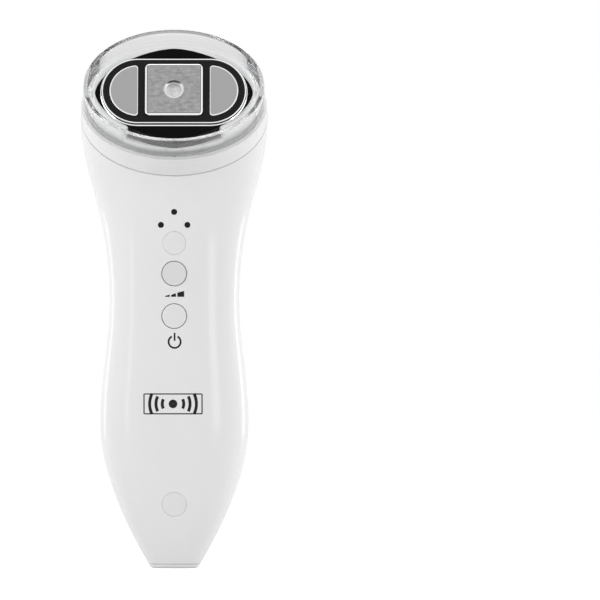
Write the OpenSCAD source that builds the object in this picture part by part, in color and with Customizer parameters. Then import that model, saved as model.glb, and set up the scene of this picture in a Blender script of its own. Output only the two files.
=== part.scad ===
// Handheld skin care device with a tilted oval head, all sizes in millimetres.
// The charging end stands on z = 0, +Z runs up the handle and the front faces -Y.

/* [Handle shape] */
// Room between the jack's cheeks and the shells at the charging end
end_side_room = 0.4; // [0.3:0.1:1]
// Room in front of the jack at the charging end
end_front_room = 1.1; // [1:0.1:2]
// Room behind the jack at the charging end
end_back_room = 0.5; // [0.4:0.1:1.4]
// How fast the sides flare above the charging end, in mm per mm
side_flare = 0.6; // [0.56:0.01:0.64]
// How fast the front and back flare above the charging end, in mm per mm
depth_flare = 0.4; // [0.36:0.01:0.46]
// Height of the widest part of the grip above the bottom of the cell
belly_rise = 17.5; // [15:0.5:20]
// Width of the widest part of the grip
belly_w = 51.6; // [49:0.1:55]
// Depth of the grip in front of the socket axis
belly_front = 17; // [16.4:0.1:18.5]
// Depth of the grip behind the socket axis
belly_back = 20; // [19.2:0.1:22]
// Height of the narrow waist above the power button
waist_rise = 5.6; // [4:0.1:7]
// Width of the waist
waist_w = 45.1; // [44:0.1:48]
// Depth of the waist in front of the socket axis
waist_front = 15.5; // [15.2:0.1:16.4]
// Depth of the waist behind the socket axis
waist_back = 15.5; // [15.2:0.1:17]
// How far below the head seat's middle the neck flares fastest
neck_drop = 24.6; // [22:0.1:27]
// Width of the neck at that height
neck_w = 56; // [54.5:0.1:58]
// How fast the neck flares at that height, in mm per mm
neck_flare = 0.27; // [0.22:0.01:0.3]
// Squareness of the front half of each section, where 2 is an ellipse
front_fullness = 2.4; // [2:0.1:2.6]
// Wall of both half shells
wall = 2; // [1.7:0.1:2.3]
// Gap between the two half shells
seam_gap = 0.1; // [0.06:0.02:0.16]

/* [Head seat] */
// Height of the middle of the head seat above the upper level light
head_rise = 33; // [31:0.5:36]
// How far the middle of the head seat lies in front of the socket axis
head_forward = 11.4; // [10.6:0.1:12.4]
// Forward tilt of the head
head_tilt = 63; // [61:0.5:65]
// Pull of the front curve as it leaves the waist
throat_pull = 14; // [12:0.5:16]
// Pull of the front curve as it reaches the head seat
chin_pull = 12; // [10:0.5:14]
// Slope of the front curve at the head seat, above level
chin_slope = 56; // [52:1:60]
// Pull of the back curve as it leaves the waist
nape_pull = 30; // [27:0.5:33]
// Pull of the back curve as it reaches the head seat
crown_pull = 45; // [42:0.5:48]

/* [Head] */
// Height of the opaque collar
collar_h = 9.4; // [9:0.1:11]
// How far the collar's foot stands out beyond its upper edge at the sides
collar_side_flare = 0.3; // [0.2:0.1:1]
// How far the collar's foot stands out beyond its upper edge at the front and back
collar_front_flare = 1.4; // [1:0.1:2]
// Shadow gap between the body and the collar
collar_gap = 0.5; // [0.3:0.1:0.8]
// Wall of the collar
collar_wall = 2; // [1.8:0.1:2.3]
// Height of the clear ring above the collar
ring_h = 14.3; // [13.8:0.1:16]
// Step between the collar and the clear ring
ring_step = 0.2; // [0.1:0.05:0.4]
// Wall of the clear ring beside the black floor, at the sides
ring_side_wall = 3.6; // [3.2:0.1:4]
// Wall of the clear ring beside the black floor, at the front and back
ring_front_wall = 3.5; // [3.2:0.1:4]
// How far the rim of the clear ring leans inwards at the sides
rim_side_lean = 0.7; // [0.3:0.1:1]
// How far the rim of the clear ring leans outwards at the front and back
rim_front_lean = 0.3; // [0:0.1:0.6]
// Wall of the clear ring at its rim
rim_wall = 1.3; // [1.1:0.1:1.6]
// How far the black floor lies below the rim
floor_sink = 5.4; // [5:0.1:6]
// Thickness of the black floor
floor_t = 2; // [1.6:0.1:2.4]
// Height of the skirt below the top of the black floor
skirt_h = 5; // [4.4:0.1:5.4]
// Black floor that shows beyond the ends of the carrier
floor_side_margin = 2.65; // [2:0.05:4]
// Black floor that shows in front of the carrier and behind it
floor_front_margin = 4.9; // [4:0.1:6]

/* [Electrodes] */
// Side of the square ultrasonic plate
plate_side = 20; // [19.4:0.1:20.6]
// Carrier that shows in front of the plate and behind it
plate_margin = 3.1; // [2.6:0.1:3.6]
// Gap between the plate and the flat edge of an electrode
plate_gap = 2.45; // [2:0.05:3]
// Carrier that shows round the curved edge of an electrode
electrode_border = 3.2; // [2.8:0.1:3.6]
// Height of the carrier above the black floor
carrier_rise = 1.5; // [1.3:0.1:1.8]
// Thickness of the bright trim round the carrier
trim_t = 0.6; // [0.5:0.05:0.8]
// Corner radius of the square plate
plate_corner = 1.3; // [1:0.1:2]
// Height of the square plate above the carrier
plate_rise = 1.2; // [0.9:0.1:1.6]
// Bevel round the top of the square plate
plate_bevel = 0.8; // [0.5:0.1:0.8]
// Diameter of the round recess in the square plate
dish_d = 6.8; // [6:0.1:8]
// Depth of that recess
dish_depth = 0.7; // [0.5:0.1:0.9]
// Height of the electrodes above the carrier
electrode_rise = 0.2; // [0.1:0.05:0.4]

/* [Controls] */
// Diameter of both push buttons
button_d = 8.4; // [8:0.1:8.8]
// Height of the power button above the top of the cell
power_button_rise = 3.8; // [3.6:0.1:5]
// Distance between the two buttons
button_pitch = 14.8; // [14.4:0.1:16]
// Gap round a button
button_gap = 0.2; // [0.14:0.02:0.26]
// How far a button stands out of the front
button_proud = 0.3; // [0.2:0.05:0.5]
// Travel of a button
button_travel = 0.3; // [0.2:0.05:0.4]
// Diameter of the three level lights
lens_d = 2; // [1.8:0.1:2.3]
// Height of the two lower level lights above the light window
lens_rise = 6.3; // [6.1:0.1:8]
// Height of the upper level light above the lower two
lens_step = 4.5; // [4:0.1:5]
// Distance of the two lower level lights from the middle
lens_x = 4.6; // [4.2:0.1:5.2]
// Diameter of the light window above the buttons
mode_window_d = 8; // [7.6:0.1:8.4]
// Height of the light window above the level button
mode_window_rise = 10.6; // [10.5:0.1:12]
// Diameter of the light window near the charging end
charge_window_d = 8.5; // [8:0.1:9]
// How far the light window near the charging end lies below the charging board's screws
charge_window_drop = 7.1; // [7:0.1:8]
// Gap round the windows and lenses
window_gap = 0.1; // [0.06:0.02:0.16]

/* [Back] */
// Width of the thumb dimple
dimple_w = 17; // [15:0.5:19]
// Height of the thumb dimple
dimple_h = 23; // [20:0.5:25]
// Height of the middle of the thumb dimple above the waist
dimple_rise = 2.1; // [-2:0.1:5]
// Depth of the thumb dimple
dimple_depth = 1.8; // [1:0.1:2]
// Height of the point of the drop-shaped recess
drop_top_z = 53; // [51:0.5:55]
// Height where the drop-shaped recess is widest
drop_mid_z = 23; // [22:0.5:25]
// Height of the low end of the drop-shaped recess
drop_low_z = 12; // [11:0.5:13]
// Width of the drop-shaped recess
drop_w = 18; // [16:0.5:20]
// Depth of the drop-shaped recess
drop_depth = 1; // [0.6:0.1:1.2]
// Diameter of the three sound holes
sound_hole_d = 2.2; // [1.8:0.1:2.4]
// Height of the upper sound hole
sound_top_z = 31.2; // [30:0.1:32]
// Height of the two lower sound holes
sound_low_z = 22.4; // [21.6:0.1:23.4]
// Distance of the two lower sound holes from the middle
sound_x = 5.5; // [5:0.1:6]

/* [Charging end] */
// Height of the visible edge of the end cap
cap_h = 1.4; // [1.2:0.1:1.8]
// Radius of the rounded lower edge of the end cap
cap_edge = 0.9; // [0.6:0.1:1]
// How far the end cap's plug reaches into the shells
cap_plug = 1.2; // [1:0.1:1.6]
// Diameter of the hole that the plug's grip enters
socket_d = 8; // [7.6:0.1:8.4]
// Side of the square charging jack
jack_side = 9; // [8.8:0.1:9.2]
// Diameter of the jack's round nose, which stands in the end cap
nose_d = 8.4; // [8.3:0.1:8.8]
// Length of the charging jack's square body
jack_len = 12; // [11:0.5:13]
// Diameter of the hole in the charging jack
jack_bore_d = 5.7; // [5.6:0.05:5.8]
// Depth of the hole in the charging jack
jack_bore_len = 9.5; // [9:0.1:10]
// Diameter of the jack's middle pin
jack_pin_d = 2; // [1.9:0.1:2.1]

/* [Power] */
// Diameter of the battery cell
cell_d = 14.2; // [13.8:0.1:14.5]
// Length of the battery cell
cell_len = 50; // [48:0.5:51]
// Height of the bottom of the battery cell above the jack
cell_rise = 19.4; // [19:0.2:21]
// Wall of the battery holder
holder_wall = 1.4; // [1.2:0.1:1.6]
// Thickness of the two circuit boards
board_t = 1.6; // [1.2:0.1:1.8]
// Width of the main board
board_w = 28; // [27:0.2:29]
// Width of the charging board
jack_board_w = 14; // [13.6:0.1:14.4]
// Height of a push switch above its board
switch_h = 5; // [4.6:0.1:5.4]
// Height of a push switch's square case
switch_case_h = 3.5; // [3.3:0.1:3.6]
// Side of a push switch
switch_side = 6; // [5.8:0.1:6.4]
// Diameter of a switch plunger
plunger_d = 3.5; // [3.2:0.1:3.7]
// Height of the light emitting diodes on the boards
led_h = 1; // [0.8:0.1:1.2]
// Side of the control chip
chip_side = 5; // [4.6:0.1:5.6]
// Diameter of the sounder
sounder_d = 9; // [8:0.1:9.4]
// Height of the sounder
sounder_h = 4; // [3.6:0.1:4.4]
// Diameter of the screws in the handle
screw_d = 2; // [1.8:0.1:2.2]

/* [Vibration motor] */
// Diameter of the vibration motor
motor_d = 7; // [6.6:0.1:7.4]
// Length of the vibration motor
motor_len = 16; // [14:0.5:17]
// Diameter of the motor's shaft
shaft_d = 1.5; // [1.2:0.1:1.7]
// Radius of the half-round weight
weight_r = 3; // [2.6:0.1:3.3]
// Length of the half-round weight
weight_len = 5; // [4:0.1:5.6]

/* [Hidden] */
$fn = 64;

// Colours
white_shell = [0.95, 0.95, 0.95];
black_part = [0.06, 0.06, 0.07];
bright_metal = [0.8, 0.81, 0.82];
satin_metal = [0.62, 0.63, 0.65];
clear_part = [0.86, 0.9, 0.92, 0.5];
board_green = [0.1, 0.38, 0.22];
copper = [0.72, 0.42, 0.2];

// The charging end closes round the jack, whose nose stands in the end cap
cheek_t = 1.2;
cheek_gap = 0.1;
cheek_w = 6;
cheek_rise = 2.8;
jack_low_z = cap_h + cap_plug;
jack_top_z = jack_low_z + jack_len;
end_w = jack_side + 2 * (cheek_gap + cheek_t + end_side_room + wall);
end_front = jack_side / 2 + end_front_room + wall;
end_back = jack_side / 2 + end_back_room + wall;

// Heights along the handle, each from the piece below it
cell_z = jack_top_z + cell_rise;
cell_top_z = cell_z + cell_len;
power_button_z = cell_top_z + power_button_rise;
level_button_z = power_button_z + button_pitch;
mode_window_z = level_button_z + mode_window_rise;
lens_low_z = mode_window_z + lens_rise;
lens_top_z = lens_low_z + lens_step;
belly_z = cell_z + belly_rise;
waist_z = power_button_z + waist_rise;
head_z = lens_top_z + head_rise;
neck_z = head_z - neck_drop;
dimple_z = waist_z + dimple_rise;

// Outlines of the head, each from the one inside it
head_gap = 0.2;
carrier_w = plate_side + 2 * plate_margin;
electrode_r = carrier_w / 2 - electrode_border;
electrode_x = plate_side / 2 + plate_gap;
carrier_len = 2 * (electrode_x + electrode_r + electrode_border);
floor_rx = carrier_len / 2 + floor_side_margin;
floor_ry = carrier_w / 2 + floor_front_margin;
ring_rx = floor_rx + head_gap + ring_side_wall;
ring_ry = floor_ry + head_gap + ring_front_wall;
rim_rx = ring_rx - rim_side_lean;
rim_ry = ring_ry + rim_front_lean;
collar_rx = ring_rx + ring_step;
collar_ry = ring_ry + ring_step;
head_w = 2 * (collar_rx + collar_side_flare);
head_depth = 2 * (collar_ry + collar_front_flare);

// A smooth step from value p0 with slope m0 to value p1 with slope m1, for u from 0 to 1
function hermite(p0, m0, p1, m1, u) =
    (2 * u ^ 3 - 3 * u ^ 2 + 1) * p0 + (u ^ 3 - 2 * u ^ 2 + u) * m0
    + (3 * u ^ 2 - 2 * u ^ 3) * p1 + (u ^ 3 - u ^ 2) * m1;

// The head seat: its plane leans forward by head_tilt about X
seat_up = [cos(head_tilt), sin(head_tilt)];
seat_out = [-sin(head_tilt), cos(head_tilt)];
seat_mid = [-head_forward, head_z];
seat_front = seat_mid - seat_up * head_depth / 2;
seat_back = seat_mid + seat_up * head_depth / 2;
chin_way = [-cos(chin_slope), sin(chin_slope)];

// Front and back rails of the handle in the plane x = 0, as [y, z].
// s runs from 0 at the charging end through 1 at the belly and 2 at the waist to 3 at the head.
grip_rise = waist_z - belly_z;
function front_rail(s) =
    s < 1 ? hermite([-end_front, 0], belly_z * [-depth_flare, 1], [-belly_front, belly_z],
        belly_z * [0, 1], s)
    : s < 2 ? hermite([-belly_front, belly_z], grip_rise * [0, 1], [-waist_front, waist_z],
        grip_rise * [0, 1], s - 1)
    : hermite([-waist_front, waist_z], 3 * throat_pull * [0, 1], seat_front,
        3 * chin_pull * chin_way, s - 2);
function back_rail(s) =
    s < 1 ? hermite([end_back, 0], belly_z * [depth_flare, 1], [belly_back, belly_z],
        belly_z * [0, 1], s)
    : s < 2 ? hermite([belly_back, belly_z], grip_rise * [0, 1], [waist_back, waist_z],
        grip_rise * [0, 1], s - 1)
    : hermite([waist_back, waist_z], 3 * nape_pull * [0, 1], seat_back,
        3 * crown_pull * seat_out, s - 2);

// Half width of the body where its middle line is at height z
width_stops = [[0, end_w / 2, side_flare], [belly_z, belly_w / 2, 0], [waist_z, waist_w / 2, 0],
    [neck_z, neck_w / 2, neck_flare], [head_z, head_w / 2, 0]];
function half_width(z) =
    let (i = z < belly_z ? 0 : z < waist_z ? 1 : z < neck_z ? 2 : 3)
    let (a = width_stops[i], b = width_stops[i + 1], h = b[0] - a[0])
    hermite(a[1], a[2] * h, b[1], b[2] * h, (z - a[0]) / h);

// The front half is fuller than an ellipse along the grip and fades to one at both ends
fade_low = 0.35;
fade_high = 0.9;
function fullness(s) =
    2 + (front_fullness - 2) * min(1, s / fade_low, (3 - s) / fade_high);

// A section of the body: middle, direction to the back, half depth, half width, front exponent
function section(s) =
    let (f = front_rail(s), k = back_rail(s), c = (f + k) / 2, d = (k - f) / 2)
    [c, d / norm(d), norm(d), half_width(c[1]), fullness(s)];

// How deep the dimple and the drop-shaped recess lie in the back, at a place on it
function dimple_at(x, z) =
    let (r = (2 * x / dimple_w) ^ 2 + (2 * (z - dimple_z) / dimple_h) ^ 2)
    dimple_depth * max(0, 1 - r) ^ 1.5;
function drop_half_w(z) =
    z > drop_top_z || z < drop_low_z ? 0
    : z > drop_mid_z ? drop_w / 2 * sin(90 * (drop_top_z - z) / (drop_top_z - drop_mid_z))
    : drop_w / 2 * sqrt(1 - ((drop_mid_z - z) / (drop_mid_z - drop_low_z)) ^ 2);
function drop_at(x, z) =
    let (w = drop_half_w(z))
    w <= abs(x) ? 0 : drop_depth * (1 - (x / w) ^ 2) * min(1, w / 3);
function hollow_at(x, z) = dimple_at(x, z) + drop_at(x, z);

// A point of one half of a section. side is -1 at the front and 1 at the back, and turn
// runs from 0 to 180 across the half. inset is how far inside the outer skin it lies.
function signed_pow(v, p) = sign(v) * abs(v) ^ p;
function skin_point(sec, side, turn, inset) =
    let (p = 2 / (side < 0 ? sec[4] : 2), q = max(0, sin(turn)))
    let (x = signed_pow(cos(turn), p), h = q ^ p)
    let (out = sec[0] + sec[1] * side * (seam_gap / 2 + sec[2] * h))
    let (dent = side > 0 ? hollow_at(sec[3] * x, out[1]) : 0)
    let (at = out - sec[1] * side * (inset * h + dent * min(1, 2 * h)))
    [(sec[3] - inset) * x, at[0], at[1]];

// y of the front or back skin at a place seen square on, found by halving the range of s
function rail_at(side, x, s) =
    let (sec = section(s), p = side < 0 ? sec[4] : 2, t = min(1, abs(x) / sec[3]))
    sec[0] + sec[1] * side * (seam_gap / 2 + sec[2] * (1 - t ^ p) ^ (1 / p));
function skin_y(side, x, z, low = 0, high = 3, step = 0) =
    let (mid = (low + high) / 2, at = rail_at(side, x, mid))
    step > 22 ? at[0] - (side > 0 ? hollow_at(x, z) : 0)
    : at[1] < z ? skin_y(side, x, z, mid, high, step + 1)
    : skin_y(side, x, z, low, mid, step + 1);
function front_y(x, z) = skin_y(-1, x, z);
function back_y(x, z) = skin_y(1, x, z);

// Triangles of a grid of points with rows rows and cols columns, the first point at start
function grid_faces(rows, cols, start, flip) =
    [for (i = [0 : rows - 2], j = [0 : cols - 2], k = [0, 1])
        let (a = start + i * cols + j, b = a + 1, c = a + cols, d = c + 1)
        let (f = k == 0 ? [a, b, d] : [a, d, c])
        flip ? [f[2], f[1], f[0]] : f];
function strip_faces(one, two, flip) =
    [for (i = [0 : len(one) - 2], k = [0, 1])
        let (f = k == 0 ? [one[i], one[i + 1], two[i + 1]] : [one[i], two[i + 1], two[i]])
        flip ? [f[2], f[1], f[0]] : f];

// One half shell of the body, from the end cap to the head seat
shell_low_s = (cap_h + seam_gap) / belly_z;
shell_steps = [12, 10, 17];
shell_turns = 22;
shell_stops = [
    for (i = [0 : shell_steps[0] - 1]) shell_low_s + (1 - shell_low_s) * i / shell_steps[0],
    for (i = [0 : shell_steps[1] - 1]) 1 + i / shell_steps[1],
    for (i = [0 : shell_steps[2]]) 2 + i / shell_steps[2]];
module half_shell(side) {
    rows = len(shell_stops);
    cols = shell_turns + 1;
    count = rows * cols;
    outer = [for (s = shell_stops, j = [0 : shell_turns])
        skin_point(section(s), side, 180 * j / shell_turns, 0)];
    inner = [for (s = shell_stops, j = [0 : shell_turns])
        skin_point(section(s), side, 180 * j / shell_turns, wall)];
    flip = side < 0;
    rim_a = [for (i = [0 : rows - 1]) i * cols];
    rim_b = [for (i = [0 : rows - 1]) i * cols + cols - 1];
    low = [for (j = [0 : cols - 1]) j];
    high = [for (j = [0 : cols - 1]) (rows - 1) * cols + j];
    inside = [for (i = [0 : count - 1]) i + count];
    polyhedron(concat(outer, inner), concat(
        grid_faces(rows, cols, 0, !flip),
        grid_faces(rows, cols, count, flip),
        strip_faces(rim_a, [for (i = rim_a) inside[i]], !flip),
        strip_faces(rim_b, [for (i = rim_b) inside[i]], flip),
        strip_faces(low, [for (i = low) inside[i]], flip),
        strip_faces(high, [for (i = high) inside[i]], !flip)));
}

// Places in the head, where z runs out of the face and y up its plane
module at_head() {
    translate([0, -head_forward, head_z])
        rotate([head_tilt, 0, 0])
            children();
}
function head_point(x, y, z) =
    let (p = seat_mid + seat_up * y + seat_out * z)
    [x, p[0], p[1]];

// Ovals: an outline, a plate, a plain ring and a ring lofted through a closed list of
// [half width, half depth, height]
oval_steps = 72;
function oval(rx, ry) = [for (i = [0 : oval_steps - 1])
    [rx * cos(360 * i / oval_steps), ry * sin(360 * i / oval_steps)]];
module oval_plate(rx, ry, z, h) {
    translate([0, 0, z])
        linear_extrude(h)
            polygon(oval(rx, ry));
}
module oval_band(rx, ry, t, z, h) {
    translate([0, 0, z])
        linear_extrude(h)
            difference() {
                polygon(oval(rx, ry));
                polygon(oval(rx - t, ry - t));
            }
}
module oval_loft(rings) {
    n = len(rings);
    points = [for (r = rings, i = [0 : oval_steps - 1])
        [r[0] * cos(360 * i / oval_steps), r[1] * sin(360 * i / oval_steps), r[2]]];
    polyhedron(points, [for (k = [0 : n - 1], i = [0 : oval_steps - 1], h = [0, 1])
        let (j = (i + 1) % oval_steps, a = k * oval_steps, b = (k + 1) % n * oval_steps)
        h == 0 ? [a + j, a + i, b + i] : [a + j, b + i, b + j]]);
}

// A cylinder from y to y + h with its axis along Y
module rod_y(x, y, z, d, h) {
    translate([x, y, z])
        rotate([-90, 0, 0])
            cylinder(d = d, h = h);
}
// A block from its middle in x and z, and from y to y + h
module block_y(x, y, z, w, tall, h) {
    translate([x - w / 2, y, z - tall / 2])
        cube([w, h, tall]);
}
// A pan-head screw of the handle that points to the front, with its seat at y
module screw_y(x, y, z, len) {
    rod_y(x, y - len, z, screw_d, len + screw_head_h);
    rod_y(x, y, z, screw_head_d, screw_head_h);
}

// A flexible lead swept along points, with its corners rounded
lead_sides = 8;
lead_round = 1.6;
lead_turns = 3;
function unit(v) = v / norm(v);
function rounded_path(p) = [p[0],
    for (i = [1 : len(p) - 2])
        let (a = unit(p[i - 1] - p[i]), b = unit(p[i + 1] - p[i]))
        let (r = min(lead_round, norm(p[i - 1] - p[i]) / 2.2, norm(p[i + 1] - p[i]) / 2.2))
        for (k = [0 : lead_turns])
            let (u = k / lead_turns)
            p[i] + a * r * (1 - u) ^ 2 + b * r * u ^ 2,
    p[len(p) - 1]];
module lead(way) {
    path = rounded_path(way);
    n = len(path);
    side_way = unit([0.31, 0.52, 0.8]);
    rings = [for (i = [0 : n - 1])
        let (t = unit(path[min(i + 1, n - 1)] - path[max(i - 1, 0)]))
        let (u = unit(cross(t, side_way)), v = cross(t, u))
        for (k = [0 : lead_sides - 1])
            let (w = 360 * (k + 0.5) / lead_sides)
            path[i] + wire_d / 2 * (u * cos(w) + v * sin(w))];
    polyhedron(rings, concat(
        [[for (k = [0 : lead_sides - 1]) k]],
        [[for (k = [lead_sides - 1 : -1 : 0]) (n - 1) * lead_sides + k]],
        [for (i = [0 : n - 2], k = [0 : lead_sides - 1], h = [0, 1])
            let (m = (k + 1) % lead_sides, a = i * lead_sides, b = a + lead_sides)
            h == 0 ? [a + k, b + k, b + m] : [a + k, b + m, a + m]]));
}

// How far a cutter runs past a face, how deep a joined body is rooted in its neighbour,
// and the share of the wall that a post or landing keeps below the outer skin
over = 1;
root_in = 0.4;
root_share = 0.7;
cut_tall = collar_h + ring_h;
cut_deep = belly_back + head_depth;

// Depths behind the front, from the button's landing back to the main board
land_rise = 0.6;
land_wall = 1.8;
land_y = -(waist_front - wall - land_rise);
flange_gap = 0.05;
flange_t = 0.9;
flange_lip = 0.9;
stem_d = 4.4;
stem_len = 0.9;
plunger_top_y = land_y + flange_gap + flange_t + stem_len;
board_y = plunger_top_y + switch_h;
board_back_y = board_y + board_t;
button_edge = 0.3;
plunger_in = 1.2;
plunger_gap = 0.08;
plunger_rest = 0.3;
board_edge = 4;
board_clear = 0.5;
board_low_z = cell_top_z + board_clear;
board_high_z = lens_top_z + board_edge;
post_d = 5;
post_in = 2.8;
post_x = board_w / 2 - post_in;
post_low_z = board_low_z + board_edge;
post_high_z = mode_window_z + 2;
post_places = [for (x = [-post_x, post_x], z = [post_low_z, post_high_z]) [x, z]];
hole_slack = 0.2;
screw_head_d = 3.6;
screw_head_h = 1.3;
screw_bite = 4.4;
tip_gap = 0.3;

// Battery cell and its holder
cell_gap = 0.2;
tab_t = 0.3;
tab_d = 6;
holder_r = cell_d / 2 + cell_gap + holder_wall;
tab_room = 0.5;
holder_floor = 1.2;
holder_short = 6;
holder_low_z = cell_z - tab_t - holder_floor;
holder_high_z = cell_top_z - holder_short;
holder_open_w = 11;
holder_pad_w = 10;
holder_pad_t = 0.6;
holder_clear = 1.1;
holder_pad_y = back_y(holder_pad_w / 2, holder_low_z) - wall - holder_clear;
cell_back = holder_pad_y - holder_pad_t - holder_r;
stake_x = 3;
stake_d = 2.4;
stake_gap = 0.1;
stake_post_d = 5;
stake_places = [cell_z + 9, holder_high_z - 8];
connector_w = 6;
connector_tall = 5;
connector_deep = 4.5;
connector_gap = 1.4;
connector_z = cell_top_z + tab_t + connector_gap + connector_tall / 2;

// The charging board stands beside the jack and above the end cap
jack_board_back_y = -jack_side / 2;
jack_board_y = jack_board_back_y - board_t;
jack_board_lap = 6;
jack_board_low_z = jack_top_z - jack_board_lap;
jack_board_high_z = holder_low_z - board_clear;
jack_post_side = 2.4;
jack_post_below = 2.6;
jack_post_x = jack_board_w / 2 - jack_post_side;
jack_post_z = jack_board_high_z - jack_post_below;
jack_post_d = 4.2;
jack_screw_bite = 4;
pin_short = 1;
sounder_gap = 0.3;
sounder_reach = (sounder_d + screw_head_d) / 2 + sounder_gap;
sounder_z = jack_post_z - sqrt(max(0, sounder_reach ^ 2 - jack_post_x ^ 2));
sounder_hole_d = 2;
sounder_hole_deep = 0.8;
charge_window_z = jack_post_z - charge_window_drop;

// End cap: it closes the end, and its cheeks hold the jack from both sides
cap_mid = section(shell_low_s)[0][0];
cap_rx = section(shell_low_s)[3];
cap_ry = section(shell_low_s)[2] + seam_gap / 2;
cap_lip_steps = 4;
nose_gap = 0.1;

// Parts on the back of the main board
chip_h = 1.1;
transformer_w = 12;
transformer_h = 8;
transformer_z = post_high_z;
transformer_rim = 2;
transformer_in = 1.5;
coil_r = 5;
coil_core_r = 2.4;
coil_h = 4;
coil_x = -5.6;
coil_gap = 1.2;
coil_z = transformer_z - transformer_w / 2 - coil_r - coil_gap;
capacitor_d = 6.3;
capacitor_len = 8;
capacitor_x = 5.4;

// Lights, and the three light pipes on their V-shaped bridge
led_side = 2;
lens_places = [[0, lens_top_z], [-lens_x, lens_low_z], [lens_x, lens_low_z]];
bridge_t = 1.2;
bridge_gap = 1.1;
bridge_y = front_y(0, lens_low_z) + wall + bridge_gap;
pipe_gap = 0.3;
pipe_base_d = lens_d + 1;

// The two round windows, as [height, diameter, lean, depth of the landing under the skin].
// The upper one stays level, because its landing meets that of the level button.
function skin_lean(z) = -atan((front_y(0, z + 1) - front_y(0, z - 1)) / 2);
mode_window_place = [mode_window_z, mode_window_d, 0, land_y - front_y(0, mode_window_z)];
charge_window_place = [charge_window_z, charge_window_d, skin_lean(charge_window_z),
    wall + land_rise];
windows = [mode_window_place, charge_window_place];
charge_light_z = charge_window_z
    + tan(skin_lean(charge_window_z)) * (jack_board_y - led_h - front_y(0, charge_window_z));

// Heights in the head above its seat
chassis_t = 2;
chassis_drop = 1.4;
chassis_top = collar_h - chassis_drop;
ledge_t = 2.5;
ledge_high = chassis_top - chassis_t;
ledge_low = ledge_high - ledge_t;
ledge_lip = 5.4;
collar_step = 0.15;
light_board_t = 1;
light_board_top = chassis_top + light_board_t;
ring_light_h = 1.4;
ring_light_w = 3;
ring_light_count = 12;
ring_light_in = 2;
rim_top = collar_h + ring_h;
floor_top = rim_top - floor_sink;
skirt_low = floor_top - skirt_h;
skirt_wall = 1.6;
spigot_h = 3;
spigot_wall = 1.4;
spigot_gap = 0.4;
carrier_top = floor_top + carrier_rise;
trim_drop = 0.2;
pocket_gap = 0.1;
plate_top = carrier_top + plate_rise;
plate_lift = 0.2;
plate_low = floor_top + plate_lift;
plate_slice = 0.1;
stem_h = 4;
stem_low = floor_top - stem_h;
stem_in = 0.6;
stem_side = plate_side - 2 * stem_in;
piezo_in = 2.5;
piezo_d = plate_side - 2 * piezo_in;
piezo_t = 1;
electrode_t = 1;
electrode_low = carrier_top + electrode_rise - electrode_t;
contact_d = 2.4;
contact_in = 4.5;
contact_x = electrode_x + contact_in;
contact_low = floor_top - floor_t - 1;
post_head_d = 4.6;
post_head_x = 16;
post_head_y = 6.2;
head_post_places = [for (x = [-post_head_x, post_head_x], y = [-post_head_y, post_head_y]) [x, y]];
ledge_screw_turns = [35, 145, 215, 325];
chassis_gap = 0.6;
chassis_rx = collar_rx - collar_wall - chassis_gap;
chassis_ry = collar_ry - collar_wall - chassis_gap;
chassis_hole_x = 9;
chassis_hole_y = 3.5;
blind_left = 0.4;
ledge_screw_in = screw_head_d / 2 + 1;
ledge_screw_rx = chassis_rx - ledge_screw_in;
ledge_screw_ry = chassis_ry - ledge_screw_in;
ledge_screw_places = [for (t = ledge_screw_turns) [ledge_screw_rx * cos(t), ledge_screw_ry * sin(t)]];
head_screw_bite = 4.5;
light_board_band = 5.3;
board_hole_rx = floor_rx - light_board_band;
board_hole_ry = floor_ry - light_board_band;

// Vibration motor, with its axis along X under the chassis
motor_y = 6;
motor_z = -1;
motor_x = -2.5;
motor_gap = 0.05;
bracket_wall = 1.6;
bracket_len = motor_len - 3;
bracket_foot_w = 7.2;
bracket_r = motor_d / 2 + motor_gap + bracket_wall;
bracket_screw_in = 3;
bracket_screw_x = [motor_x - bracket_len / 2 + bracket_screw_in,
    motor_x + bracket_len / 2 - bracket_screw_in];
bracket_screw_bite = 2.6;
shaft_gap = 0.03;
shaft_in = 4;
shaft_end_gap = 0.5;
weight_gap = 1;
shaft_end_x = motor_x + motor_len / 2 + weight_gap + weight_len;

// Leads
wire_d = 1.2;
lead_out = 2.2;
lead_step = 2;
lead_low = 1.6;
wire_x = holder_r + lead_low;

// Snap hooks of the front shell reach past the seam, and their nubs catch in the rear shell
hook_places = [cell_z - 6, belly_z + 14.5, waist_z + 2.6];
hook_tall = 4;
hook_t = 1.4;
hook_reach = 3.4;
hook_gap = 0.25;
hook_in = 0.75;
hook_root_y = -4;
hook_root_len = 2.6;
hook_root_t = 2;
nub_out = 0.9;
nub_deep = 1.2;
function seam_y(z) = section(seam_s(z))[0][0];
function seam_s(z, low = 0, high = 3, step = 0) =
    let (mid = (low + high) / 2)
    step > 22 ? mid : section(mid)[0][1] < z ? seam_s(z, mid, high, step + 1)
    : seam_s(z, low, mid, step + 1);
function hook_x(z) =
    min(half_width(z - hook_tall / 2), half_width(z + hook_tall / 2)) - wall - hook_gap - hook_in;
module at_hook(z, s) {
    translate([0, seam_y(z), z])
        mirror([s, 0, 0])
            children();
}
module hooks() {
    for (z = hook_places, s = [0, 1])
        at_hook(z, s) {
            x = hook_x(z);
            translate([x - hook_t, hook_root_y, -hook_tall / 2])
                cube([hook_t, hook_reach - hook_root_y, hook_tall]);
            translate([x - hook_t, hook_root_y, -hook_tall / 2])
                cube([hook_t + hook_root_t, hook_root_len, hook_tall]);
            translate([x - hook_t / 2, hook_reach - nub_deep, -hook_tall / 2])
                cube([hook_t / 2 + nub_out, nub_deep, hook_tall]);
        }
}
module hook_pockets() {
    for (z = hook_places, s = [0, 1])
        at_hook(z, s)
            translate([hook_x(z), hook_reach - nub_deep - hook_gap, -hook_tall / 2 - hook_gap])
                cube([nub_out + hook_gap, nub_deep + 2 * hook_gap, hook_tall + 2 * hook_gap]);
}

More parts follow.
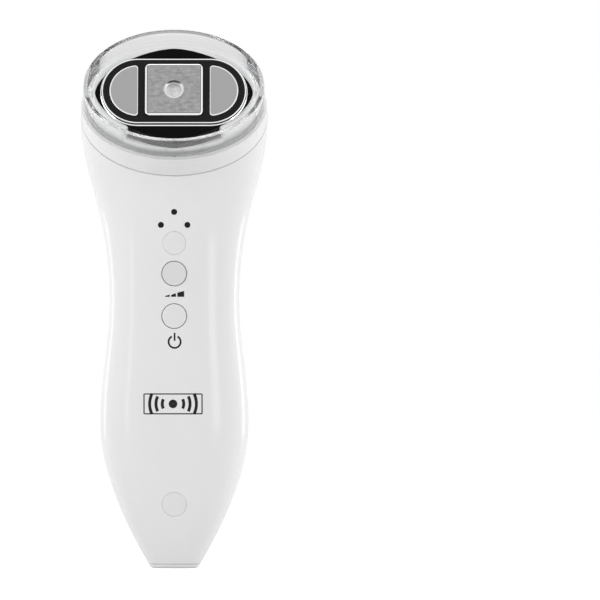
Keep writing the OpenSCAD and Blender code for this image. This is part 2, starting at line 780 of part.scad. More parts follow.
module front_shell() color(white_shell) {
    difference() {
        union() {
            half_shell(-1);
            hooks();
            for (z = [level_button_z, power_button_z])
                landing(z);
            for (w = windows)
                window_landing(w);
            for (p = post_places)
                post_from_front(p[0], p[1], post_d, board_y);
            for (x = [-jack_post_x, jack_post_x])
                post_from_front(x, jack_post_z, jack_post_d, jack_board_y);
        }
        for (z = [level_button_z, power_button_z])
            front_hole(0, z, button_d + 2 * button_gap);
        for (w = windows)
            window_hole(w);
        for (p = lens_places)
            front_hole(p[0], p[1], lens_d + 2 * window_gap);
        for (p = post_places)
            rod_y(p[0], board_y - screw_bite, p[1], screw_d, screw_bite + over);
        for (x = [-jack_post_x, jack_post_x])
            rod_y(x, jack_board_y - jack_screw_bite, jack_post_z, screw_d, jack_screw_bite + over);
    }
}

// The flat ring behind a button, a post that carries a board, and a hole through the front
module landing(z) {
    y = front_y(0, z) + wall * root_share;
    rod_y(0, y, z, button_d + 2 * button_gap + 2 * land_wall, land_y - y);
}
module post_from_front(x, z, d, to_y) {
    y = front_y(x, z) + wall * root_share;
    rod_y(x, y, z, d, to_y - y);
}
module front_hole(x, z, d) {
    rod_y(x, land_y + over - cut_deep, z, d, cut_deep);
}

module rear_shell() color(white_shell) {
    difference() {
        union() {
            half_shell(1);
            for (z = stake_places, x = [-stake_x, stake_x])
                rod_y(x, holder_pad_y, z, stake_post_d,
                    back_y(x, z) - wall * root_share - holder_pad_y);
            for (z = stake_places, x = [-stake_x, stake_x])
                rod_y(x, holder_pad_y - holder_wall, z, stake_d, holder_wall + root_in);
        }
        hook_pockets();
        for (p = [[0, sound_top_z], [-sound_x, sound_low_z], [sound_x, sound_low_z]])
            rod_y(p[0], 0, p[1], sound_hole_d, cut_deep);
    }
}

// A closed solid lofted through ovals from the bottom up
module solid_loft(rings) {
    n = len(rings);
    points = [for (r = rings, i = [0 : oval_steps - 1])
        [r[0] * cos(360 * i / oval_steps), r[1] * sin(360 * i / oval_steps), r[2]]];
    polyhedron(points, concat(
        [[for (i = [0 : oval_steps - 1]) i]],
        [[for (i = [oval_steps - 1 : -1 : 0]) (n - 1) * oval_steps + i]],
        [for (k = [0 : n - 2], i = [0 : oval_steps - 1], h = [0, 1])
            let (j = (i + 1) % oval_steps, a = k * oval_steps, b = a + oval_steps)
            h == 0 ? [a + j, a + i, b + i] : [a + j, b + i, b + j]]));
}
// A ring of the cap's rounded lower edge, k steps up from its flat face
function cap_ring(k) =
    let (t = 90 * k / cap_lip_steps, z = cap_edge * (1 - cos(t)), r = cap_edge * (1 - sin(t)))
    [cap_rx - r - side_flare * (cap_h - z), cap_ry - r - depth_flare * (cap_h - z), z];
module end_cap() color(white_shell) {
    difference() {
        union() {
            translate([0, cap_mid, 0])
                solid_loft([for (k = [0 : cap_lip_steps]) cap_ring(k), [cap_rx, cap_ry, cap_h]]);
            translate([0, cap_mid, 0])
                oval_plate(cap_rx - wall - hole_slack, cap_ry - wall - hole_slack,
                    cap_h - root_in, cap_plug + root_in);
            for (s = [0, 1])
                mirror([s, 0, 0])
                    translate([jack_side / 2 + cheek_gap, -cheek_w / 2, jack_low_z - root_in])
                        cube([cheek_t, cheek_w, cheek_rise + root_in]);
        }
        translate([0, 0, -over])
            cylinder(d = socket_d, h = jack_low_z + 2 * over);
        translate([0, 0, cap_h])
            cylinder(d = nose_d + 2 * nose_gap, h = cap_plug + over);
    }
}

module head_collar() color(white_shell) at_head() {
    rx = collar_rx;
    ry = collar_ry;
    difference() {
        union() {
            oval_loft([[head_w / 2 - collar_step, head_depth / 2 - collar_step, collar_gap],
                [rx, ry, collar_h],
                [rx - collar_wall, ry - collar_wall, collar_h],
                [rx - collar_wall, ry - collar_wall, collar_gap]]);
            oval_band(head_w / 2 - wall - spigot_gap, head_depth / 2 - wall - spigot_gap, spigot_wall,
                -spigot_h, spigot_h + ledge_low + root_in);
            oval_band(rx - collar_wall + root_in, ry - collar_wall + root_in, ledge_lip, ledge_low,
                ledge_high - ledge_low);
        }
        for (p = ledge_screw_places)
            translate([p[0], p[1], 0])
                cylinder(d = screw_d + hole_slack, h = ledge_high + over);
    }
}

module light_ring() color(clear_part) at_head() {
    r = rim_wall / 2;
    oval_loft([[ring_rx, ring_ry, collar_h],
        for (t = [0 : 45 : 180])
            [rim_rx - r + r * cos(t), rim_ry - r + r * cos(t), rim_top - r + r * sin(t)],
        [floor_rx + head_gap, floor_ry + head_gap, floor_top],
        [floor_rx + head_gap, floor_ry + head_gap, collar_h]]);
}

module light_diffuser() color([0.9, 0.92, 0.93]) at_head()
    oval_band(floor_rx, floor_ry, skirt_wall, light_board_top, skirt_low - light_board_top);

module head_floor() color(black_part) at_head() {
    difference() {
        union() {
            oval_band(floor_rx, floor_ry, skirt_wall, skirt_low, skirt_h);
            oval_plate(floor_rx - skirt_wall / 2, floor_ry - skirt_wall / 2,
                floor_top - floor_t, floor_t);
            for (p = head_post_places)
                translate([p[0], p[1], chassis_top])
                    cylinder(d = post_head_d, h = floor_top - chassis_top - floor_t / 2);
        }
        translate([0, 0, floor_top - floor_t - over])
            linear_extrude(floor_t + 2 * over)
                square(stem_side + 2 * head_gap, center = true);
        for (p = head_post_places)
            translate([p[0], p[1], chassis_top - over])
                cylinder(d = screw_d, h = head_screw_bite - chassis_t + over);
        for (s = [-1, 1])
            translate([s * contact_x, 0, floor_top - floor_t - over])
                cylinder(d = contact_d + 2 * head_gap, h = floor_t + 2 * over);
    }
}

// Outline of the carrier: a slot shape, grown or shrunk by inset
module carrier_outline(inset) {
    half = (carrier_len - carrier_w) / 2;
    square([2 * half, carrier_w - 2 * inset], center = true);
    for (s = [-1, 1])
        translate([s * half, 0])
            circle(r = carrier_w / 2 - inset);
}
// Outline of a half-round electrode with its flat edge towards the middle of the head
module electrode_outline(grow) {
    intersection() {
        translate([electrode_x, 0])
            circle(r = electrode_r + grow);
        translate([electrode_x - grow, -electrode_r - grow])
            square([electrode_r + 2 * grow, 2 * (electrode_r + grow)]);
    }
}
module electrode_carrier() color(black_part) at_head() {
    difference() {
        union() {
            translate([0, 0, floor_top])
                linear_extrude(carrier_rise)
                    carrier_outline(trim_t);
            translate([0, 0, stem_low])
                linear_extrude(stem_h + root_in)
                    square(stem_side, center = true);
        }
        translate([0, 0, plate_low])
            linear_extrude(cut_tall)
                square(plate_side + 2 * pocket_gap, center = true);
        translate([0, 0, stem_low - over])
            cylinder(d = piezo_d + 2 * pocket_gap, h = cut_tall);
        for (s = [0, 1])
            mirror([s, 0, 0]) {
                translate([0, 0, electrode_low])
                    linear_extrude(cut_tall)
                        electrode_outline(pocket_gap);
                translate([contact_x, 0, floor_top - over])
                    cylinder(d = contact_d + 2 * pocket_gap, h = cut_tall);
            }
    }
}
module carrier_trim() color(bright_metal) at_head()
    translate([0, 0, floor_top])
        linear_extrude(carrier_rise - trim_drop)
            difference() {
                carrier_outline(0);
                carrier_outline(trim_t);
            }

// Square with round corners, made of exact arcs
module round_square(side, r) {
    square([side, side - 2 * r], center = true);
    square([side - 2 * r, side], center = true);
    for (x = [-1, 1], y = [-1, 1])
        translate([x * (side / 2 - r), y * (side / 2 - r)])
            circle(r = r);
}
module ultrasonic_plate() color(satin_metal) at_head() {
    difference() {
        hull() {
            translate([0, 0, plate_low])
                linear_extrude(plate_top - plate_low - plate_bevel)
                    round_square(plate_side, plate_corner);
            translate([0, 0, plate_top - plate_slice])
                linear_extrude(plate_slice)
                    round_square(plate_side - 2 * plate_bevel, plate_corner - plate_bevel / 2);
        }
        translate([0, 0, plate_top - dish_depth])
            cylinder(d = dish_d, h = dish_depth + over);
    }
}
module electrode(s) color(satin_metal) at_head() mirror([s, 0, 0]) {
    translate([0, 0, electrode_low])
        linear_extrude(electrode_t)
            electrode_outline(0);
    translate([contact_x, 0, contact_low])
        cylinder(d = contact_d, h = electrode_low - contact_low + root_in);
}
module left_electrode() electrode(1);
module right_electrode() electrode(0);
module piezo_disc() color([0.85, 0.8, 0.66]) at_head()
    translate([0, 0, plate_low - piezo_t])
        cylinder(d = piezo_d, h = piezo_t);

module head_chassis() color([0.75, 0.76, 0.78]) at_head() {
    difference() {
        oval_plate(chassis_rx, chassis_ry, ledge_high, chassis_t);
        translate([0, 0, ledge_high - over])
            linear_extrude(chassis_t + 2 * over)
                square([2 * chassis_hole_x, 2 * chassis_hole_y], center = true);
        for (p = head_post_places)
            translate([p[0], p[1], ledge_high - over])
                cylinder(d = screw_d + hole_slack, h = chassis_t + 2 * over);
        for (p = ledge_screw_places)
            translate([p[0], p[1], ledge_high - over])
                cylinder(d = screw_d, h = chassis_t + over - blind_left);
        for (x = bracket_screw_x)
            translate([x, motor_y, ledge_high - over])
                cylinder(d = screw_d + hole_slack, h = chassis_t + 2 * over);
    }
}

// Screws of the head, from a seat at height z. The heads of the eight that point up lie below
// the chassis or the ledge, and two point down through the chassis into the motor bracket.
module head_screw(x, y, z, len, down) {
    translate([x, y, z])
        mirror([0, 0, down])
            translate([0, 0, -screw_head_h]) {
                cylinder(d = screw_d, h = len + screw_head_h);
                cylinder(d = screw_head_d, h = screw_head_h);
            }
}
module head_screws() color(bright_metal) at_head() {
    for (p = head_post_places)
        head_screw(p[0], p[1], ledge_high, head_screw_bite - tip_gap, 0);
    for (p = ledge_screw_places)
        head_screw(p[0], p[1], ledge_low, chassis_top - ledge_low - blind_left - tip_gap, 0);
    for (x = bracket_screw_x)
        head_screw(x, motor_y, chassis_top, chassis_t + bracket_screw_bite, 1);
}

module light_board() color(board_green) at_head()
    translate([0, 0, chassis_top])
        linear_extrude(light_board_t)
            difference() {
                polygon(oval(floor_rx, floor_ry));
                polygon(oval(board_hole_rx, board_hole_ry));
            }
module ring_lights() color([0.95, 0.93, 0.8]) at_head()
    for (i = [0 : ring_light_count - 1])
        let (t = 360 * i / ring_light_count)
        translate([(board_hole_rx + ring_light_in) * cos(t),
            (board_hole_ry + ring_light_in) * sin(t), light_board_top])
            translate([-ring_light_w / 2, -ring_light_w / 4, 0])
                cube([ring_light_w, ring_light_w / 2, ring_light_h]);

module motor_bracket() color([0.3, 0.31, 0.33]) at_head() {
    difference() {
        union() {
            translate([motor_x - bracket_len / 2, motor_y, motor_z])
                rotate([0, 90, 0])
                    cylinder(r = bracket_r, h = bracket_len);
            translate([motor_x - bracket_len / 2, motor_y - bracket_foot_w / 2, motor_z])
                cube([bracket_len, bracket_foot_w, ledge_high - motor_z]);
        }
        translate([motor_x - bracket_len / 2 - over, motor_y, motor_z])
            rotate([0, 90, 0])
                cylinder(d = motor_d + 2 * motor_gap, h = bracket_len + 2 * over);
        for (x = bracket_screw_x)
            translate([x, motor_y, ledge_high - bracket_screw_bite])
                cylinder(d = screw_d, h = bracket_screw_bite + over);
    }
}
module vibration_motor() color(bright_metal) at_head()
    translate([motor_x - motor_len / 2, motor_y, motor_z])
        rotate([0, 90, 0])
            difference() {
                cylinder(d = motor_d, h = motor_len);
                translate([0, 0, motor_len - shaft_in - shaft_end_gap])
                    cylinder(d = shaft_d + 2 * shaft_gap, h = shaft_in + shaft_end_gap + over);
            }
module motor_shaft() color(satin_metal) at_head()
    translate([motor_x + motor_len / 2 - shaft_in, motor_y, motor_z])
        rotate([0, 90, 0])
            cylinder(d = shaft_d, h = shaft_end_x - motor_x - motor_len / 2 + shaft_in);
module eccentric_weight() color([0.5, 0.5, 0.52]) at_head()
    translate([shaft_end_x - weight_len, motor_y, motor_z])
        rotate([0, 90, 0])
            difference() {
                intersection() {
                    cylinder(r = weight_r, h = weight_len);
                    translate([-shaft_d, -weight_r, -over])
                        cube([weight_r + shaft_d, 2 * weight_r, weight_len + 2 * over]);
                }
                translate([0, 0, -over])
                    cylinder(d = shaft_d, h = weight_len + 2 * over);
            }

module main_board() color(board_green)
    difference() {
        translate([-board_w / 2, board_y, board_low_z])
            cube([board_w, board_t, board_high_z - board_low_z]);
        for (p = post_places)
            rod_y(p[0], board_y - over, p[1], screw_d + hole_slack, board_t + 2 * over);
    }
module board_screws() color(bright_metal) {
    for (p = post_places)
        screw_y(p[0], board_back_y, p[1], board_t + screw_bite - tip_gap);
    for (x = [-jack_post_x, jack_post_x])
        screw_y(x, jack_board_back_y, jack_post_z, board_t + jack_screw_bite - tip_gap);
}
module control_chip() color(black_part)
    block_y(0, board_y - chip_h, (level_button_z + power_button_z) / 2, chip_side, chip_side, chip_h);
module power_transformer() color([0.78, 0.66, 0.3]) {
    block_y(0, board_back_y, transformer_z, transformer_w, transformer_w, transformer_rim);
    rod_y(0, board_back_y + root_in, transformer_z, transformer_w - 2 * transformer_in,
        transformer_h - 2 * root_in);
    block_y(0, board_back_y + transformer_h - transformer_rim, transformer_z, transformer_w,
        transformer_w, transformer_rim);
}
module choke_coil() color(copper)
    translate([coil_x, board_back_y + coil_h / 2, coil_z])
        rotate([90, 0, 0])
            rotate_extrude()
                translate([(coil_r + coil_core_r) / 2, 0])
                    square([coil_r - coil_core_r, coil_h], center = true);
module storage_capacitor() color([0.2, 0.22, 0.3])
    rod_y(capacitor_x, board_back_y, coil_z, capacitor_d, capacitor_len);

module button(z) {
    top = front_y(0, z) - button_proud;
    low = top + button_edge;
    translate([0, top, z])
        rotate([-90, 0, 0])
            cylinder(d1 = button_d - 2 * button_edge, d2 = button_d, h = button_edge);
    rod_y(0, low, z, button_d, land_y + flange_gap + flange_t / 2 - low);
    rod_y(0, land_y + flange_gap, z, button_d + 2 * flange_lip, flange_t);
    rod_y(0, land_y + flange_gap, z, stem_d, flange_t + stem_len);
}
module level_button() color(white_shell) button(level_button_z);
module power_button() color(white_shell) button(power_button_z);
module push_switch(z) {
    difference() {
        block_y(0, board_y - switch_case_h, z, switch_side, switch_side, switch_case_h);
        rod_y(0, board_y - switch_case_h - over, z, plunger_d + 2 * plunger_gap,
            over + plunger_in + button_travel + plunger_rest);
    }
}
module level_switch() color(black_part) push_switch(level_button_z);
module power_switch() color(black_part) push_switch(power_button_z);
module plunger(z)
    rod_y(0, plunger_top_y, z, plunger_d, switch_h - switch_case_h + plunger_in);
module level_switch_plunger() color([0.9, 0.6, 0.2]) plunger(level_button_z);
module power_switch_plunger() color([0.9, 0.6, 0.2]) plunger(power_button_z);

module level_lenses() color(black_part) {
    rise = lens_top_z - lens_low_z;
    reach = norm([rise, lens_x]);
    difference() {
        union() {
            for (p = lens_places) {
                y = front_y(p[0], p[1]) - wall;
                rod_y(p[0], y, p[1], lens_d, board_y - led_h - pipe_gap - y);
                rod_y(p[0], bridge_y, p[1], pipe_base_d, bridge_t);
            }
            for (s = [-1, 1])
                translate([0, bridge_y, lens_top_z])
                    rotate([0, s * atan2(rise, lens_x), 0])
                        translate([s > 0 ? 0 : -reach, 0, -lens_d / 2])
                            cube([reach, bridge_t, lens_d]);
        }
        for (p = lens_places)
            translate([p[0], front_y(p[0], p[1]), p[1]])
                rotate([skin_lean(p[1]), 0, 0])
                    block_y(0, -2 * wall, 0, 1.5 * lens_d, 2 * lens_d, 2 * wall);
    }
}
module level_lights() color([0.9, 0.2, 0.15])
    for (p = lens_places)
        block_y(p[0], board_y - led_h, p[1], led_side, led_side, led_h);

// A place on the front skin, and what a round window needs there
module on_front(z, lean) {
    translate([0, front_y(0, z), z])
        rotate([lean, 0, 0])
            children();
}
module window_landing(w) {
    on_front(w[0], w[2])
        rod_y(0, wall * root_share, 0, w[1] + 2 * window_gap + 2 * land_wall,
            w[3] - wall * root_share);
}
module window_hole(w) {
    on_front(w[0], w[2])
        rod_y(0, -wall, 0, w[1] + 2 * window_gap, w[3] + 2 * wall);
}
module window(w) {
    difference() {
        on_front(w[0], w[2]) {
            rod_y(0, -wall, 0, w[1], w[3] + flange_gap + flange_t / 2 + wall);
            rod_y(0, w[3] + flange_gap, 0, w[1] + 2 * flange_lip, flange_t);
        }
        on_front(w[0], skin_lean(w[0]))
            block_y(0, -2 * wall, 0, 2 * w[1], 2 * w[1], 2 * wall);
    }
}
module mode_window() color(white_shell) window(mode_window_place);
module charge_window() color(white_shell) window(charge_window_place);
module mode_light() color([0.2, 0.3, 0.9])
    block_y(0, board_y - led_h, mode_window_z, led_side, led_side, led_h);
module charge_light() color([0.2, 0.8, 0.3])
    block_y(0, jack_board_y - led_h, charge_light_z, led_side, led_side, led_h);

module battery_cell() color([0.15, 0.3, 0.62]) {
    translate([0, cell_back, cell_z])
        cylinder(d = cell_d, h = cell_len);
    for (z = [cell_z - tab_t, cell_top_z])
        translate([0, cell_back, z])
            cylinder(d = tab_d, h = tab_t);
}
module battery_holder() color([0.12, 0.12, 0.13])
    difference() {
        union() {
            translate([0, cell_back, holder_low_z])
                cylinder(r = holder_r, h = holder_high_z - holder_low_z);
            translate([-holder_pad_w / 2, cell_back, holder_low_z])
                cube([holder_pad_w, holder_pad_y - cell_back, holder_high_z - holder_low_z]);
        }
        translate([0, cell_back, cell_z])
            cylinder(r = cell_d / 2 + cell_gap, h = cell_len);
        translate([0, cell_back, holder_low_z - over])
            cylinder(d = tab_d + 2 * tab_room, h = cell_len);
        translate([-holder_open_w / 2, cell_back - 2 * holder_r, holder_low_z - over])
            cube([holder_open_w, 2 * holder_r, cell_len]);
        for (z = stake_places, x = [-stake_x, stake_x])
            rod_y(x, cell_back, z, stake_d + 2 * stake_gap, 2 * holder_r);
    }

module battery_connector() color(white_shell)
    block_y(0, board_back_y, connector_z, connector_w, connector_tall, connector_deep);

module battery_leads() color([0.8, 0.12, 0.1]) {
    low = holder_low_z - lead_low;
    plug_y = board_back_y + connector_deep;
    side_y = board_back_y + connector_deep / 2;
    lead([[0, cell_back, cell_top_z + tab_t], [0, cell_back, connector_z],
        [0, plug_y, connector_z]]);
    lead([[0, cell_back, cell_z - tab_t], [0, cell_back, low], [-wire_x, cell_back, low],
        [-wire_x, cell_back, connector_z], [-wire_x, side_y, connector_z],
        [-connector_w / 2, side_y, connector_z]]);
}

module charging_jack() color(black_part)
    difference() {
        union() {
            translate([-jack_side / 2, -jack_side / 2, jack_low_z])
                cube([jack_side, jack_side, jack_len]);
            translate([0, 0, cap_h])
                cylinder(d = nose_d, h = cap_plug + root_in);
        }
        translate([0, 0, cap_h - over])
            cylinder(d = jack_bore_d, h = jack_bore_len + over);
    }
module jack_pin() color(bright_metal)
    translate([0, 0, cap_h + pin_short])
        cylinder(d = jack_pin_d, h = jack_bore_len - pin_short);
module charging_board() color(board_green)
    difference() {
        translate([-jack_board_w / 2, jack_board_y, jack_board_low_z])
            cube([jack_board_w, board_t, jack_board_high_z - jack_board_low_z]);
        for (x = [-jack_post_x, jack_post_x])
            rod_y(x, jack_board_y - over, jack_post_z, screw_d + hole_slack, board_t + 2 * over);
    }
module sounder() color(black_part)
    difference() {
        rod_y(0, jack_board_back_y, sounder_z, sounder_d, sounder_h);
        rod_y(0, jack_board_back_y + sounder_h - sounder_hole_deep, sounder_z, sounder_hole_d,
            sounder_hole_deep + over);
    }

// Two leads side by side, from the charging board past the cell to the main board
module charging_leads() color([0.85, 0.85, 0.2])
    for (s = [0, 1]) {
        in = jack_post_z - post_in - s * lead_step;
        up = board_low_z + lead_low + s * lead_step;
        x = jack_board_w / 2 - wire_d;
        out = wire_x + s * lead_step;
        y = jack_board_back_y + lead_out;
        lead([[x, jack_board_back_y, in], [x, y, in], [out, y, in], [out, y, up],
            [out - 2 * lead_step, y, up], [out - 2 * lead_step, board_back_y, up]]);
    }

// One lead from the main board to each electrode's contact
module electrode_leads() color([0.15, 0.15, 0.16])
    for (s = [-1, 1]) {
        x = s * (chassis_hole_x - lead_low);
        z = board_high_z - lead_step;
        over_chassis = chassis_top + lead_low;
        lead([[x, board_back_y, z], [x, board_back_y + lead_out, z], head_point(x, 0, -spigot_h),
            head_point(x, 0, over_chassis), head_point(s * contact_x, 0, over_chassis),
            head_point(s * contact_x, 0, contact_low)]);
    }

// Two leads from the main board to the closed end of the motor, one outside the other
module motor_leads() color([0.2, 0.3, 0.75])
    for (s = [-1, 1]) {
        start = -post_x - s * lead_step / 2;
        z = board_high_z - lead_step;
        end = motor_x - motor_len / 2;
        out = end - lead_out - (1 + s) * lead_step / 2;
        rise = motor_z + s * lead_step / 2;
        lead([[start, board_back_y, z], [start, board_back_y + lead_out, z],
            head_point(out, motor_y, motor_z - motor_len / 2), head_point(out, motor_y, rise),
            head_point(end, motor_y, rise)]);
    }

front_shell();
rear_shell();
end_cap();
head_collar();
light_ring();
light_diffuser();
head_floor();
electrode_carrier();
carrier_trim();
ultrasonic_plate();
left_electrode();
right_electrode();
piezo_disc();
head_chassis();
head_screws();
light_board();
ring_lights();
motor_bracket();
vibration_motor();
motor_shaft();
eccentric_weight();
main_board();
board_screws();
control_chip();
power_transformer();
choke_coil();
storage_capacitor();
level_button();
power_button();
level_switch();
power_switch();
level_switch_plunger();
power_switch_plunger();
level_lenses();
level_lights();
mode_window();
mode_light();
charge_window();
charge_light();
battery_cell();
battery_holder();
battery_connector();
battery_leads();
charging_jack();
jack_pin();
charging_board();
charging_leads();
sounder();
electrode_leads();
motor_leads();
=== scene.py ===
"""A handheld skin care device with a tilted oval head, dressed for the render.

The packed model is the fixed frame. Each operator below makes one visible piece, or one group of
like pieces, from the sizes in the property groups, and each piece stands for its CAD node.
"""
import math
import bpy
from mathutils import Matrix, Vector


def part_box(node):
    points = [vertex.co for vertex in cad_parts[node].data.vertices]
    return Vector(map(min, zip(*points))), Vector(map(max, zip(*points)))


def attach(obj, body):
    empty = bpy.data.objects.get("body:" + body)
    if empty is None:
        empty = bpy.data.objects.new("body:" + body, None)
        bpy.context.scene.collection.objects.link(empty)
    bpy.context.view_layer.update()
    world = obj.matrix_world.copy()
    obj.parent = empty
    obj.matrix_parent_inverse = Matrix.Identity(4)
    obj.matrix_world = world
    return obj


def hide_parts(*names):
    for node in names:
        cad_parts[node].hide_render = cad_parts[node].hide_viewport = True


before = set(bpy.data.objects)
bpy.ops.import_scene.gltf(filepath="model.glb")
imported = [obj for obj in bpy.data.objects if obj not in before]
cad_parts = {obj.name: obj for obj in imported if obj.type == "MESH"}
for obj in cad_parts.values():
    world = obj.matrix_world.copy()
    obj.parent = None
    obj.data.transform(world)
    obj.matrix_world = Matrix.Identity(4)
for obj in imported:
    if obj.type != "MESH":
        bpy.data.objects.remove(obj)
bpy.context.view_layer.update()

from types import SimpleNamespace

import bmesh
import bpy
import numpy as np
from bpy.props import FloatProperty, FloatVectorProperty, PointerProperty
from mathutils import Vector

bl_info = {
    "name": "Tilted Head Skin Care Device",
    "version": (1, 0, 0),
    "blender": (4, 5, 0),
    "location": "View3D > Sidebar > Device",
    "description": "Builds the shells, head, clear ring, electrodes and buttons of the device",
    "category": "Object",
}

# A millimetre in metres, and the gap in millimetres between pieces that sit on each other.
MM = 0.001
SEAT_GAP = 0.02


# Sizes and colours

def length(name, description, mm):
    """A length property with its default given in millimetres."""
    return FloatProperty(name=name, description=description, default=mm * MM, soft_min=0.0,
                         unit="LENGTH", subtype="DISTANCE", precision=5)


def angle(name, description, degrees):
    """An angle property with its default given in degrees."""
    return FloatProperty(name=name, description=description, default=math.radians(degrees),
                         unit="ROTATION", subtype="ANGLE")


def number(name, description, value):
    """A plain factor."""
    return FloatProperty(name=name, description=description, default=value, subtype="FACTOR",
                         soft_min=0.0, soft_max=4.0)


def paint(name, description, *rgb):
    """A linear colour."""
    return FloatVectorProperty(name=name, description=description, default=rgb, size=3,
                               min=0.0, max=1.0, subtype="COLOR")


class HandleSizes(bpy.types.PropertyGroup):
    """Form of the handle, from the charging end up to the head seat."""
    end_width: length("End width", "Width of the body at the charging end", 16.4)
    end_front: length("End front", "Depth in front of the axis at the charging end", 7.6)
    end_back: length("End back", "Depth behind the axis at the charging end", 7.0)
    side_flare: number("Side flare", "How fast the sides flare above the end", 0.6)
    depth_flare: number("Depth flare", "How fast front and back flare above the end", 0.4)
    belly_height: length("Belly height", "Height of the widest part of the grip", 51.5)
    belly_width: length("Belly width", "Width of the grip at the belly", 51.6)
    belly_front: length("Belly front", "Depth in front of the axis at the belly", 17.0)
    belly_back: length("Belly back", "Depth behind the axis at the belly", 20.0)
    waist_height: length("Waist height", "Height of the narrow waist", 93.4)
    waist_width: length("Waist width", "Width of the waist", 45.1)
    waist_front: length("Waist front", "Depth in front of the axis at the waist", 15.5)
    waist_back: length("Waist back", "Depth behind the axis at the waist", 15.5)
    neck_height: length("Neck height", "Height where the neck flares fastest", 132.4)
    neck_width: length("Neck width", "Width of the neck at that height", 56.0)
    neck_flare: number("Neck flare", "How fast the neck flares at that height", 0.27)
    fullness: number("Front fullness", "Exponent of the front half, 2 is an ellipse", 2.4)
    wall: length("Wall", "Wall of both half shells", 2.0)
    seam_gap: length("Seam gap", "Gap between the two half shells", 0.1)
    edge: length("Edge", "Radius of the moulded edges", 0.12)
    seat_height: length("Seat height", "Height of the middle of the head seat", 157.0)
    seat_forward: length("Seat forward", "How far the head seat lies in front of the axis", 11.4)
    seat_tilt: angle("Seat tilt", "Forward tilt of the head", 63.0)
    throat_pull: length("Throat pull", "Pull of the front curve at the waist", 14.0)
    chin_pull: length("Chin pull", "Pull of the front curve at the head seat", 12.0)
    chin_slope: angle("Chin slope", "Slope of the front curve at the head seat", 56.0)
    nape_pull: length("Nape pull", "Pull of the back curve at the waist", 30.0)
    crown_pull: length("Crown pull", "Pull of the back curve at the head seat", 45.0)
    cap_height: length("Cap height", "Height of the visible end cap", 1.4)
    cap_edge: length("Cap edge", "Radius of the end cap's lower edge", 0.9)
    socket: length("Socket", "Diameter of the charging mouth", 8.0)


class HeadSizes(bpy.types.PropertyGroup):
    """Collar, clear ring, black floor and the electrodes, measured out of the head seat."""
    collar_height: length("Collar height", "Height of the collar", 9.4)
    collar_gap: length("Collar gap", "Shadow gap below the collar", 0.5)
    collar_wall: length("Collar wall", "Wall of the collar", 2.0)
    foot_side: length("Foot side", "Half width of the collar's foot", 32.5)
    foot_front: length("Foot front", "Half depth of the collar's foot", 23.3)
    collar_side: length("Collar side", "Half width of the collar's upper edge", 32.2)
    collar_front: length("Collar front", "Half depth of the collar's upper edge", 21.9)
    ring_height: length("Ring height", "Height of the clear ring", 14.3)
    ring_side: length("Ring side", "Half width of the clear ring's foot", 32.0)
    ring_front: length("Ring front", "Half depth of the clear ring's foot", 21.7)
    rim_side: length("Rim side", "Half width of the clear ring's rim", 31.3)
    rim_front: length("Rim front", "Half depth of the clear ring's rim", 22.0)
    rim_wall: length("Rim wall", "Wall of the clear ring at the rim", 1.3)
    floor_side: length("Floor side", "Half width of the black floor", 28.2)
    floor_front: length("Floor front", "Half depth of the black floor", 18.0)
    floor_sink: length("Floor sink", "How far the black floor lies below the rim", 5.4)
    floor_thick: length("Floor thickness", "Thickness of the black floor", 2.0)
    skirt: length("Skirt", "Height of the skirt under the black floor", 5.0)
    skirt_wall: length("Skirt wall", "Wall of the skirt", 1.6)
    board_top: length("Board top", "Height of the light board above the seat", 9.0)
    carrier_length: length("Carrier length", "Length of the slot-shaped carrier", 51.1)
    carrier_width: length("Carrier width", "Width of the slot-shaped carrier", 26.2)
    carrier_rise: length("Carrier rise", "Height of the carrier above the floor", 1.5)
    trim: length("Trim", "Thickness of the bright trim round the carrier", 0.6)
    plate_side: length("Plate side", "Side of the square plate", 20.0)
    plate_corner: length("Plate corner", "Corner radius of the square plate", 1.7)
    plate_rise: length("Plate rise", "Height of the plate above the carrier", 1.2)
    plate_bevel: length("Plate bevel", "Width of the bevel round the plate", 0.62)
    bevel_drop: length("Bevel drop", "Height of that bevel", 0.3)
    dish: length("Dish", "Diameter of the recess in the plate", 6.8)
    dish_depth: length("Dish depth", "Depth of that recess", 0.7)
    electrode_radius: length("Electrode radius", "Radius of the half-round electrodes", 9.9)
    electrode_place: length("Electrode place", "From the middle to an electrode's flat edge", 12.45)
    electrode_rise: length("Electrode rise", "Height of the electrodes above the carrier", 0.2)
    electrode_corner: length("Electrode corner", "Corner radius of the electrodes", 1.1)


